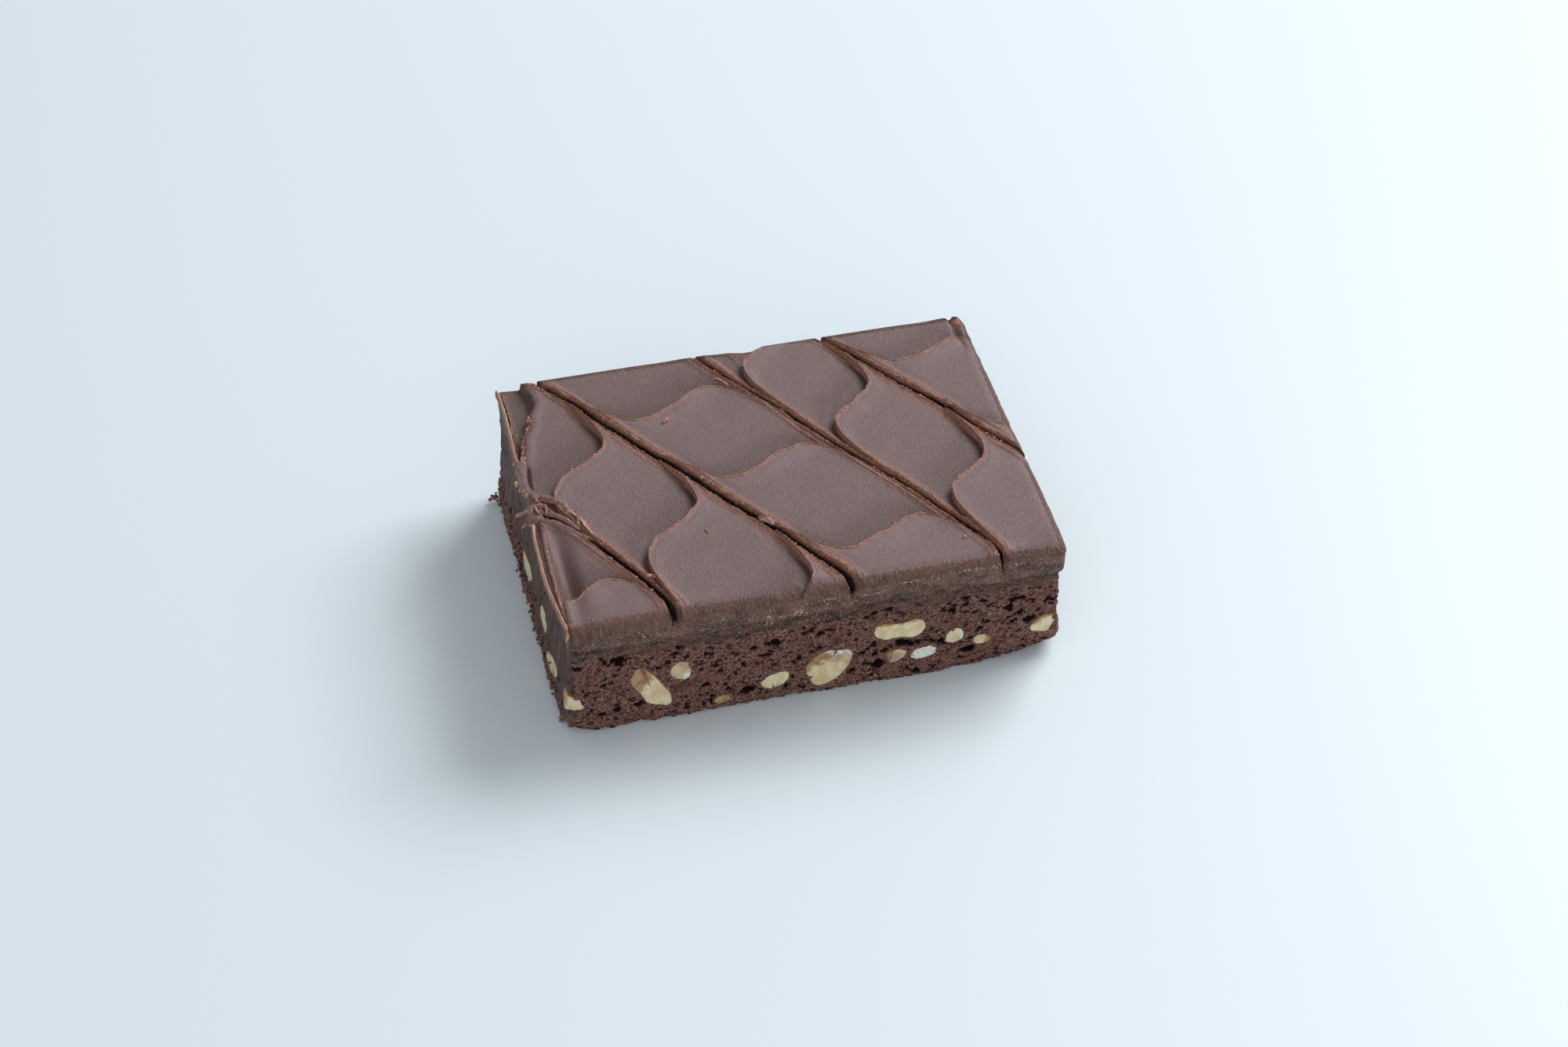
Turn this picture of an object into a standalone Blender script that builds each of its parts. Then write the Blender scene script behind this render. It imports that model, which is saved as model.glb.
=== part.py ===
"""An iced walnut brownie, cut square from its tray and standing on z = 0.

The cake and the icing are rings of points lofted round the cut outline. The icing's face is a
grid laid along the comb marks: waves run across it, and slits drawn through the soft icing drag
each wave one way or the other. Each piece of walnut is a lobed pebble cut flush with the cake.
"""

import math

import bmesh
import bpy
from mathutils import Matrix, Vector, noise

MM = 0.001

# The slab.
LENGTH = 95.6 * MM  # along X
DEPTH = 71.4 * MM  # along Y
CAKE_TOP = 21.0 * MM
ICING_FACE = 27.7 * MM  # mean level of the combed face
GAP = 0.3 * MM  # left between bodies that touch
CORNER_RADIUS = 1.6 * MM
OUTLINE_POINTS = 84

# The cake's sides, from its underside up.
CAKE_LEVELS = tuple(height * MM for height in (0.0, 1.7, 4.6, 9.5, 15.0, 21.0))
FOOT_INSET = 0.7 * MM  # the underside stops this far inside the cut
FOOT_RADII = {0: 6.5 * MM, 1: 4.0 * MM, 2: 2.4 * MM}  # crumbled corners, by level
LEFT_FLARE = 1.8 * MM  # the left cut leans outwards down to its foot
RIGHT_FLARE = 1.2 * MM
OVERHANG = 0.9 * MM  # the icing stands past the cake at the front right
OVERHANG_REACH = 9.0 * MM
CRUMB_ROUGHNESS = 0.35 * MM
CRUMB_PITCH = 5.0 * MM

# The icing's sides, as shares of its thickness, and how far each stands out.
ICING_SIDE = ((0.0, -0.25), (0.22, 0.15), (0.5, -0.1), (2.4, -0.1))
SMEAR_DEPTH = 0.12 * MM
SMEAR_PITCH = 1.9 * MM

# Rolled edges of the face: how far in each starts, and how far it drops.
FRONT_ROLL, FRONT_DROP = 3.2 * MM, 2.3 * MM
RIGHT_ROLL, RIGHT_DROP = 2.8 * MM, 1.7 * MM
BACK_ROLL, BACK_DROP = 0.9 * MM, 0.3 * MM
ROLL_SPLITS = (1.0, 0.55, 0.2)  # lines of edges, as shares of a roll's width
# The left edge: a thin wall pulled up by the knife. Towards the front a trough lies behind it,
# and towards the back the icing before the first wave is scraped low.
WALL_FROM_EDGE, WALL_WIDTH, WALL_RISE = 0.4 * MM, 0.6 * MM, 0.6 * MM
TROUGH_FROM_EDGE, TROUGH_WIDTH, TROUGH_DEPTH = 2.6 * MM, 1.7 * MM, 2.0 * MM
TROUGH_MIDDLE, TROUGH_REACH = -21.0 * MM, 11.0 * MM  # along Y
SCRAPE_DEPTH, SCRAPE_WIDTH = 1.1 * MM, 1.5 * MM

# The comb marks.
COMB_TURN = math.radians(-57.0)  # the slits' direction from X
ALONG = Vector((math.cos(COMB_TURN), math.sin(COMB_TURN)))
ACROSS = Vector((-ALONG.y, ALONG.x))
# Each slit's place across, the way its comb tooth went (+1 along, -1 back), and how far the
# slit swings at the front edge.
SLITS = (
    (-66.0 * MM, -1, 0.0),
    (-40.0 * MM, 1, -2.6 * MM),
    (-13.5 * MM, -1, -0.6 * MM),
    (12.5 * MM, 1, -2.3 * MM),
    (35.5 * MM, -1, 0.0),
    (57.5 * MM, 1, 0.0),
)
SWING_REACH = 7.0 * MM
SWING_WIDTH = 9.0 * MM
SWING_ROUNDS = 6  # enough rounds to find a point from its comb place
SLIT_OFFSETS = tuple(offset * MM for offset in (0.0, 0.42, 0.85, 1.7, 2.9, 4.8, 8.5))
SLIT_HALF_WIDTH = 0.62 * MM
SLIT_DEPTH = 2.3 * MM
SLIT_STEEPNESS = 1.5
LIP_FROM_SLIT, LIP_WIDTH, LIP_RISE = 1.5 * MM, 0.85 * MM, 0.5 * MM
DRAG, DRAG_FADE = 17.0 * MM, 2.1 * MM
WAVES = tuple(place * MM for place in (-77.0, -51.7, -26.4, -1.3, 28.6, 57.0, 83.0))
WAVE_OFFSETS = tuple(offset * MM for offset in (-0.3, 0.3, 1.4, 4.0, 9.5, 16.5))
FIRST_WAVE = WAVES[1]
STEP_HALF_WIDTH = 0.3 * MM
STEP_RISE = 0.85 * MM  # the leading edge of one wave above the tail of the wave before
FACE_MARGIN = 4.0 * MM  # the face is made this much larger than the slab, and trimmed
FACE_LEFT_BARE = 1.8 * MM  # waves fade out this close to a slit

# The walnut pieces: face, place along it, height, length, width, tilt in degrees, waist.
WALNUTS = {
    "walnut_front_1": ("front", -32.8, 8.9, 11.8, 5.8, -62, 0.22),
    "walnut_front_2": ("front", -27.0, 12.0, 4.8, 4.3, 80, 0.0),
    "walnut_front_3": ("front", -19.0, 2.6, 3.2, 2.4, 10, 0.0),
    "walnut_front_4": ("front", -8.8, 5.3, 6.0, 4.0, 24, 0.1),
    "walnut_front_5": ("front", 1.5, 6.6, 10.4, 7.4, 48, 0.0),
    "walnut_front_6": ("front", 15.5, 12.8, 10.7, 6.0, -4, 0.42),
    "walnut_front_7": ("front", 14.8, 6.2, 4.2, 3.5, 0, 0.0),
    "walnut_front_8": ("front", 20.2, 6.0, 5.2, 3.4, 8, 0.15),
    "walnut_front_9": ("front", 26.3, 8.8, 3.9, 3.7, 60, 0.0),
    "walnut_front_10": ("front", 31.8, 6.6, 3.8, 2.7, -5, 0.0),
    "walnut_corner": ("front", 44.6, 7.4, 6.6, 4.8, 12, 0.0),
    "walnut_left_1": ("left", 5.0, 7.0, 9.9, 4.6, 8, 0.2),
    "walnut_left_2": ("left", -11.5, 8.2, 6.6, 4.2, -15, 0.0),
    "walnut_left_3": ("left", -21.0, 5.0, 9.6, 4.0, 12, 0.15),
    "walnut_left_4": ("left", -33.2, 7.0, 5.6, 4.4, -30, 0.0),
    "walnut_right_1": ("right", -9.0, 11.0, 7.8, 5.0, 20, 0.2),
    "walnut_right_2": ("right", 15.5, 6.5, 5.2, 3.8, -25, 0.0),
    "walnut_back_1": ("back", -26.0, 8.4, 8.6, 5.4, -18, 0.25),
    "walnut_back_2": ("back", 3.0, 12.6, 5.0, 4.2, 40, 0.0),
    "walnut_back_3": ("back", 27.0, 6.2, 6.4, 4.0, 12, 0.0),
}
WALNUT_DEPTH = 3.6 * MM  # how far a piece goes into the cake
LARGE_WALNUT = 10.0 * MM  # longer pieces have a finer surface
WAIST_WIDTH = 0.45  # as a share of half the piece's length
LOBES = ((2, 0.05, 1.0), (3, 0.06, 2.3), (5, 0.035, 4.1))  # turns, height, and phase by piece

COLOURS = {
    "cake": (0.050, 0.017, 0.010),
    "icing": (0.105, 0.050, 0.038),
    "walnut": (0.620, 0.440, 0.200),
}


def clear_scene():
    """Removes whatever the file opened with."""
    for existing in list(bpy.data.objects):
        bpy.data.objects.remove(existing, do_unlink=True)


def new_collection(name):
    collection = bpy.data.collections.new(name)
    bpy.context.scene.collection.children.link(collection)
    return collection


def food_material(name, colour, roughness):
    material = bpy.data.materials.new(name)
    material.use_nodes = True
    shader = material.node_tree.nodes["Principled BSDF"]
    shader.inputs["Base Color"].default_value = (*colour, 1.0)
    shader.inputs["Roughness"].default_value = roughness
    shader.inputs["Metallic"].default_value = 0.0
    return material


def add_object(name, mesh_maker, collection, material=None):
    """Puts a finished bmesh into a new object."""
    mesh = bpy.data.meshes.new(name)
    bmesh.ops.recalc_face_normals(mesh_maker, faces=mesh_maker.faces)
    mesh_maker.to_mesh(mesh)
    mesh_maker.free()
    if material:
        mesh.materials.append(material)
    added = bpy.data.objects.new(name, mesh)
    collection.objects.link(added)
    return added


def hide_cutter(cutter):
    cutter.hide_render = True
    cutter.display_type = "WIRE"


def add_boolean(target, operation, operand):
    """Cuts target by one object, or by every object of a collection."""
    modifier = target.modifiers.new(operation.lower(), "BOOLEAN")
    modifier.operation = operation
    if isinstance(operand, bpy.types.Collection):
        modifier.operand_type = "COLLECTION"
        modifier.collection = operand
    else:
        modifier.object = operand
    modifier.solver = "EXACT"


def bell(distance, width):
    """1 at no distance, fading smoothly over the width."""
    return math.exp(-((distance / width) ** 2))


def smooth_step(value):
    value = min(max(value, 0.0), 1.0)
    return value * value * (3.0 - 2.0 * value)


def outline_place(share):
    """Which corner a share of the way round belongs to, and how far through its arc or side."""
    arc = CORNER_RADIUS * math.pi / 2
    sides = [LENGTH - 2 * CORNER_RADIUS, DEPTH - 2 * CORNER_RADIUS] * 2
    walked = share * (sum(sides) + 4 * arc)
    for corner, side in enumerate(sides):
        if walked < arc:
            return corner, walked / arc, 0.0
        walked -= arc
        if walked < side:
            return corner, 1.0, walked / side
        walked -= side
    return 0, 0.0, 0.0


def outline_point(share, radius=CORNER_RADIUS):
    """The cut outline at a share of its way round: a point, and the direction out of it."""
    corner, arc_share, side_share = outline_place(share)
    half_length, half_depth = LENGTH / 2 - radius, DEPTH / 2 - radius
    turn = math.radians(90.0 * (corner + arc_share))
    out = Vector((math.cos(turn), math.sin(turn)))
    onward = Vector((-out.y, out.x)).normalized()
    centre = Vector((half_length * (1, -1, -1, 1)[corner], half_depth * (1, 1, -1, -1)[corner]))
    side = 2 * (half_length, half_depth)[corner % 2]
    return centre + out * radius + onward * side * side_share, out


def loft_block(levels, place):
    """A closed block of stacked rings; place(share, level) gives each point."""
    block = bmesh.new()
    bmesh.ops.create_cone(
        block, cap_ends=True, segments=OUTLINE_POINTS, radius1=1.0, radius2=1.0, depth=1.0
    )
    top_level = len(levels) - 1
    for level in range(1, top_level):
        bmesh.ops.bisect_plane(
            block,
            geom=block.verts[:] + block.edges[:] + block.faces[:],
            plane_co=(0.0, 0.0, level / top_level - 0.5),
            plane_no=(0.0, 0.0, 1.0),
        )
    for vertex in block.verts:
        turn = math.atan2(vertex.co.y, vertex.co.x) % math.tau
        level = round((vertex.co.z + 0.5) * top_level)
        vertex.co = place(turn / math.tau, level)
    return block


def cake_side_point(share, level):
    """A point on the cake's side: a flared left cut, crumbled corners and an uneven crumb."""
    height = CAKE_LEVELS[level]
    point, out = outline_point(share, FOOT_RADII.get(level, CORNER_RADIUS))
    front_right = Vector((LENGTH / 2, -DEPTH / 2))
    inset = OVERHANG * math.exp(-(point - front_right).length / OVERHANG_REACH)
    if level == 0:
        inset += FOOT_INSET
    spread = LEFT_FLARE * max(-out.x, 0.0) + RIGHT_FLARE * max(out.x, 0.0)
    flare = spread * (1.0 - height / CAKE_TOP) ** 2
    rough = CRUMB_ROUGHNESS * noise.noise(Vector((point.x, point.y, height)) / CRUMB_PITCH)
    moved = point + out * (flare + rough - inset)
    return Vector((moved.x, moved.y, height))


def add_cake(collection, material):
    block = loft_block(CAKE_LEVELS, cake_side_point)
    return add_object("cake", block, collection, material)


def icing_side_point(share, level):
    """A point on the icing's side, drawn down in shallow streaks by the knife."""
    point, out = outline_point(share)
    rise, stand_out = ICING_SIDE[level]
    thickness = ICING_FACE - CAKE_TOP
    streak = SMEAR_DEPTH * noise.noise(Vector((point.x, point.y, 0.0)) / SMEAR_PITCH)
    moved = point + out * (stand_out * MM + streak)
    return Vector((moved.x, moved.y, CAKE_TOP + GAP + rise * thickness))


def swing(point):
    """How far across the comb marks have swung near the front edge."""
    across = point.dot(ACROSS)
    near_front = math.exp(-max(point.y + DEPTH / 2, 0.0) / SWING_REACH)
    return sum(bend * bell(across - place, SWING_WIDTH) for place, way, bend in SLITS) * near_front


def comb_place(point):
    """Places along and across the comb marks, with their swing taken out."""
    return point.dot(ALONG), point.dot(ACROSS) - swing(point)


def from_comb(along, across):
    """The point at a place along and across the comb marks."""
    straight = ALONG * along + ACROSS * across
    point = straight
    for _ in range(SWING_ROUNDS):
        point = straight + ACROSS * swing(point)
    return point


def slit_distance(across):
    """The distance to the nearest slit."""
    return min(abs(across - place) for place, way, bend in SLITS)


def drag(across):
    """How far the comb has dragged the waves along, by the nearness of each slit."""
    moved = 0.0
    for place, way, bend in SLITS:
        distance = max(abs(across - place), SLIT_HALF_WIDTH)
        moved += way * DRAG * math.exp(-distance / DRAG_FADE)
    return moved


def wave_height(phase):
    """High just past a wave's leading edge, and falling evenly to the next one."""
    behind = max((place for place in WAVES if place <= phase + STEP_HALF_WIDTH), default=WAVES[0])
    ahead = min((place for place in WAVES if place > behind), default=behind + LENGTH)
    share = (phase - behind) / (ahead - behind)
    fall = STEP_RISE * (0.5 - share)
    climb = smooth_step((phase - behind + STEP_HALF_WIDTH) / (2 * STEP_HALF_WIDTH))
    return fall if phase > behind + STEP_HALF_WIDTH else STEP_RISE * (climb - 0.5)


def edge_roll(inside, width, drop):
    """The drop of a rounded edge at a distance inside it."""
    short = 1.0 - min(max(inside / width, 0.0), 1.0)
    return drop * short * short


def left_edge(x, y, phase):
    """The rise or fall of the knife's marks along the left edge."""
    inside = x + LENGTH / 2
    trough = TROUGH_DEPTH * bell(inside - TROUGH_FROM_EDGE, TROUGH_WIDTH)
    trough *= bell(y - TROUGH_MIDDLE, TROUGH_REACH)
    scrape = SCRAPE_DEPTH * smooth_step((FIRST_WAVE - phase) / SCRAPE_WIDTH)
    return WALL_RISE * bell(inside - WALL_FROM_EDGE, WALL_WIDTH) - trough - scrape


def icing_height(x, y):
    """The level of the icing's face over a point."""
    along, across = comb_place(Vector((x, y)))
    slit = slit_distance(across)
    phase = along - drag(across)
    height = ICING_FACE + wave_height(phase) * (1.0 - bell(slit, FACE_LEFT_BARE))
    height += LIP_RISE * bell(slit - LIP_FROM_SLIT, LIP_WIDTH)
    height += left_edge(x, y, phase)
    height -= edge_roll(y + DEPTH / 2, FRONT_ROLL, FRONT_DROP)
    height -= edge_roll(LENGTH / 2 - x, RIGHT_ROLL, RIGHT_DROP)
    height -= edge_roll(DEPTH / 2 - y, BACK_ROLL, BACK_DROP)
    height -= SLIT_DEPTH * smooth_step(SLIT_STEEPNESS * (1.0 - slit / SLIT_HALF_WIDTH))
    return height


def comb_columns():
    """Places across the face: close together at each slit."""
    places = set()
    for place, way, bend in SLITS:
        for offset in SLIT_OFFSETS:
            places.add(place + offset)
            places.add(place - offset)
    return sorted(places)


def comb_rows():
    """Places along the face: close together at each wave's leading edge."""
    return sorted(place + offset for place in WAVES for offset in WAVE_OFFSETS)


def combed_face():
    """A closed block whose upper face carries the comb marks, larger than the slab."""
    columns, rows = comb_columns(), comb_rows()
    block = bmesh.new()
    bmesh.ops.create_grid(block, x_segments=len(columns) - 1, y_segments=len(rows) - 1, size=0.5)
    for vertex in block.verts:
        across = columns[round((vertex.co.x + 0.5) * (len(columns) - 1))]
        phase = rows[round((vertex.co.y + 0.5) * (len(rows) - 1))]
        vertex.co = from_comb(phase + drag(across), across).to_3d()
    for share in ROLL_SPLITS:
        split_along(block, Vector((0.0, share * FRONT_ROLL - DEPTH / 2)), Vector((0.0, 1.0)))
        split_along(block, Vector((LENGTH / 2 - share * RIGHT_ROLL, 0.0)), Vector((1.0, 0.0)))
    for inside in (WALL_FROM_EDGE + WALL_WIDTH, TROUGH_FROM_EDGE, TROUGH_FROM_EDGE + TROUGH_WIDTH):
        split_along(block, Vector((inside - LENGTH / 2, 0.0)), Vector((1.0, 0.0)))
    drop_far_faces(block)
    for vertex in block.verts:
        vertex.co.z = icing_height(vertex.co.x, vertex.co.y)
    bmesh.ops.triangulate(block, faces=block.faces)
    rim = [edge for edge in block.edges if edge.is_boundary]
    skirt = bmesh.ops.extrude_edge_only(block, edges=rim)["geom"]
    foot = [item for item in skirt if isinstance(item, bmesh.types.BMEdge) and item.is_boundary]
    for vertex in {vertex for edge in foot for vertex in edge.verts}:
        vertex.co.z = CAKE_TOP - GAP
    bmesh.ops.holes_fill(block, edges=foot)
    return block


def split_along(block, through, normal):
    """Adds a line of edges across the flat grid."""
    bmesh.ops.bisect_plane(
        block,
        geom=block.verts[:] + block.edges[:] + block.faces[:],
        plane_co=through.to_3d(),
        plane_no=normal.to_3d(),
    )


def drop_far_faces(block):
    """Removes the grid well outside the slab."""
    reach = Vector((LENGTH / 2 + FACE_MARGIN, DEPTH / 2 + FACE_MARGIN))
    sides = ((1, 0, reach.x), (-1, 0, reach.x), (0, 1, reach.y), (0, -1, reach.y))
    for x, y, distance in sides:
        normal = Vector((x, y, 0.0))
        bmesh.ops.bisect_plane(
            block,
            geom=block.verts[:] + block.edges[:] + block.faces[:],
            plane_co=normal * distance,
            plane_no=normal,
            clear_outer=True,
        )


def add_icing(collection, cutters, material):
    sides = loft_block(ICING_SIDE, icing_side_point)
    trim = add_object("icing_outline", sides, cutters)
    hide_cutter(trim)
    icing = add_object("icing", combed_face(), collection, material)
    add_boolean(icing, "INTERSECT", trim)
    return icing


def face_matrix(face, along, height):
    """The frame of a walnut on a side of the cake: X along the side, Y into the cake, Z up."""
    turn = {"front": 0.0, "right": 90.0, "back": 180.0, "left": 270.0}[face]
    spin = Matrix.Rotation(math.radians(turn), 4, "Z")
    inside = DEPTH / 2 if face in ("front", "back") else LENGTH / 2
    sign = 1.0 if face in ("front", "right") else -1.0
    return spin @ Matrix.Translation((sign * along, -inside, height))


def lobed(turn, piece):
    """The outline of a walnut piece, as a share of its size, at a turn round it."""
    return 1.0 + sum(rise * math.sin(count * turn + piece * shift) for count, rise, shift in LOBES)


def walnut_pebble(piece, length, width, waist, grow):
    """A lobed pebble, drawn in at its waist and grown by a clearance."""
    pebble = bmesh.new()
    bmesh.ops.create_icosphere(pebble, subdivisions=3 if length > LARGE_WALNUT else 2, radius=1.0)
    for vertex in pebble.verts:
        way = vertex.co.copy()
        pinch = 1.0 - waist * bell(way.x, WAIST_WIDTH)
        lobe = lobed(math.atan2(way.z, way.x), piece)
        vertex.co.x = way.x * (length / 2 * lobe + grow)
        vertex.co.y = way.y * (WALNUT_DEPTH + grow)
        vertex.co.z = way.z * (width / 2 * lobe * pinch + grow)
    return pebble


def add_walnuts(collection, pockets, cutters, material):
    """Each piece, cut flush with the cake, and the pocket that holds it."""
    knife = add_object("cake_outline", loft_block(CAKE_LEVELS, cake_side_point), cutters)
    hide_cutter(knife)
    for number, (name, placing) in enumerate(WALNUTS.items()):
        face, along, height, length, width, tilt, waist = placing
        place = face_matrix(face, along * MM, height * MM)
        place = place @ Matrix.Rotation(-math.radians(tilt), 4, "Y")
        size = (length * MM, width * MM, waist)
        piece = add_object(name, walnut_pebble(number, *size, 0.0), collection, material)
        piece.matrix_world = place
        add_boolean(piece, "INTERSECT", knife)
        pocket = add_object(name + "_pocket", walnut_pebble(number, *size, GAP), pockets)
        pocket.matrix_world = place
        hide_cutter(pocket)


def main():
    clear_scene()
    brownie = new_collection("brownie")
    cutters = new_collection("cutters")
    pockets = new_collection("pockets")
    cake = add_cake(brownie, food_material("cake_crumb", COLOURS["cake"], 0.9))
    add_icing(brownie, cutters, food_material("fudge_icing", COLOURS["icing"], 0.5))
    add_walnuts(brownie, pockets, cutters, food_material("walnut", COLOURS["walnut"], 0.55))
    add_boolean(cake, "DIFFERENCE", pockets)
    for collection in (cutters, pockets):
        collection.hide_render = True


main()
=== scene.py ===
"""Dresses an iced walnut brownie: combed fudge icing, an open chocolate crumb and cut walnuts.

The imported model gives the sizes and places. The icing's face is a fine grid laid along the comb
marks and trimmed by a side block with a rolled shoulder. The cake is a fine skin round the
slab, pitted like crumb. Each walnut is its own solid made fine, and the knife's torn edge,
the crumbs and the sugar flecks are small joined meshes.
"""

import itertools
import math

import bmesh
import bpy
import numpy as np
from bpy.props import FloatProperty, FloatVectorProperty, PointerProperty
from mathutils import Matrix, Vector
from mathutils.bvhtree import BVHTree


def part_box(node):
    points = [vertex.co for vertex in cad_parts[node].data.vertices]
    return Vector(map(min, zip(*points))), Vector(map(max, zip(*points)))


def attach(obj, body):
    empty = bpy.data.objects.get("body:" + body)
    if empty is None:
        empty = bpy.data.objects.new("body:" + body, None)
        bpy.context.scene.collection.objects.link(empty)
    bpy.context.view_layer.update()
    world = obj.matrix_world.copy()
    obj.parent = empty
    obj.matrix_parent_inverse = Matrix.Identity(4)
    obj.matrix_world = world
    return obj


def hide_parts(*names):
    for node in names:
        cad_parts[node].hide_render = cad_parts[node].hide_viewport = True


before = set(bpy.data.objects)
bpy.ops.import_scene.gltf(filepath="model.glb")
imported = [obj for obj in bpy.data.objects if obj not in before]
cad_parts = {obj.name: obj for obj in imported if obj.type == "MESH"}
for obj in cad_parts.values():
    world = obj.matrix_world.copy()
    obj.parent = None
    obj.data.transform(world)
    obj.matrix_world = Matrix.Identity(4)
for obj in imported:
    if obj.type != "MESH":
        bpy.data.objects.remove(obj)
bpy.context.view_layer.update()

bl_info = {
    "name": "Iced Walnut Brownie",
    "version": (1, 0, 0),
    "blender": (4, 5, 0),
    "location": "View3D > Sidebar > Brownie",
    "description": "Builds the icing, crumb, walnuts and crumbs of a brownie square",
    "category": "Add Mesh",
}

MM = 0.001
BODY = "root"
EVEN = (1.0, 1.0, 1.0)  # noise that isn't stretched
NOISE_TURN = (0.5, 0.35, 0.8)  # keeps the noise's own lattice from showing as rows

# The slab, in millimetres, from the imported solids.
CAKE_HIGH = np.array(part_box("cake")[1]) / MM
ICING_LOW, ICING_HIGH = (np.array(corner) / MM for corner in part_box("icing"))
SIDE_WAVER = 0.4  # how much the solid icing's uneven sides add to its length and depth
CREST_HEIGHT = 0.92  # the solid icing's highest crest over its face
LENGTH = ICING_HIGH[0] - ICING_LOW[0] - SIDE_WAVER
DEPTH = ICING_HIGH[1] - ICING_LOW[1] - SIDE_WAVER
CAKE_TOP = CAKE_HIGH[2]
ICING_FACE = ICING_HIGH[2] - CREST_HEIGHT  # the combed face's mean level
CORNER_RADIUS = 1.6
OUTLINE_STEPS = 6000  # steps used to measure the outline
RIGHT, BACK, LEFT, FRONT = range(4)
SIDE_OUT = {RIGHT: (1.0, 0.0), BACK: (0.0, 1.0), LEFT: (-1.0, 0.0), FRONT: (0.0, -1.0)}

# The cake's side, as the solids have it.
FOOT_HEIGHTS, FOOT_RADII = (0.0, 1.7, 4.6, 9.5), (6.5, 4.0, 2.4, 1.6)
FOOT_INSET = 0.7  # how far the foot is drawn in
LIFT_REACH = 4.2  # how far up the side a lifted foot is felt
CAKE_ROWS = 84
UNDERSIDE_INSETS = (0.35, 0.9, 1.8, 3.0, 4.8, 7.4, 11.0, 16.0, 22.0, 29.0)
LID_INSETS = (0.6, 6.0, 24.0)
LEFT_FLARE, RIGHT_FLARE = 1.8, 1.2
OVERHANG, OVERHANG_REACH = 0.9, 9.0  # the icing's over the cake, from the front right corner

# Rolled shoulders of the icing: half-axes across and down, by side.
SHOULDERS = {RIGHT: (2.8, 1.7), BACK: (0.9, 0.3), LEFT: (0.5, 0.35), FRONT: (3.2, 2.3)}
SHOULDER_CUT = 0.85  # where on its curve the side block takes over from the face
WALL_ROWS, CURVE_ROWS, BLOCK_CLIMB = 15, 6, 4.0  # the side block's rings, and its rise inside the edge

# The comb marks, in millimetres along and across them.
COMB_TURN = math.radians(-57.0)
ALONG = np.array([math.cos(COMB_TURN), math.sin(COMB_TURN)])
ACROSS = np.array([-ALONG[1], ALONG[0]])
SLIT_PLACES = np.array([-66.0, -40.0, -13.5, 12.5, 35.5, 57.5])
SLIT_WAYS = np.array([-1.0, 1.0, -1.0, 1.0, -1.0, 1.0])
SLIT_BENDS = np.array([0.0, -2.6, -0.6, -2.3, 0.0, 0.0])  # the swing at the front edge
SLIT_WIDTHS = np.array([0.55, 0.6, 0.70, 0.48, 0.60, 0.0])  # half of each
SLIT_DRIFTS = np.array([0.0, 0.0, -1.3, 0.0, -1.2, 0.0])  # towards the back edge
SWING_REACH, SWING_WIDTH, SWING_ROUNDS = 7.0, 9.0, 6
DRAG, DRAG_FADE, SLIT_HALF_WIDTH = 17.0, 2.1, 0.62
NEAR_DRAG, NEAR_FADE = 11.0, 0.8  # the last of the drag, right beside a slit
SLIT_DEPTH = 3.2  # under the face
MOUTH_OPENING, MOUTH_REACH = 0.9, 1.6  # how much wider the slits are at the front edge
WAVES = np.array([-77.0, -57.0, -26.4, -1.3, 28.6, 57.0, 83.0])
STEP_RISE = 1.15  # how much higher a wave begins than the last one ends
BARE_BESIDE_SLIT = 1.2  # the waves fade out within this of a slit
FACE_ACROSS, FACE_ALONG = 63.0, 72.0  # half the combed block, well past the slab's corners
FACE_BELOW = 3.0  # how far under the seam the combed block reaches
STEP_BEHIND = 5.0  # up to this far past a wave's edge, that edge counts as the near one

# The knife tore the icing along the left side: a scraped hollow at the back, then a flap.
HOLLOW_PLACES = (10.8, 14.0, 17.0, 19.5, 21.0, 25.0, 29.0, 32.0, 36.0)  # along the side
HOLLOW_EDGES = (-46.9, -46.4, -45.9, -45.4, -44.2, -43.0, -41.4, -41.7, -43.0)
HOLLOW_DEPTH = 1.9  # under the face
HOLLOW_START = 10.9  # where along the side the hollow gives way to the flap
FLAP_PLACES, FLAP_CREASE = (2.0, 5.7, 8.0, 10.6), (-47.2, -47.0, -46.8, -46.5)

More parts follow.
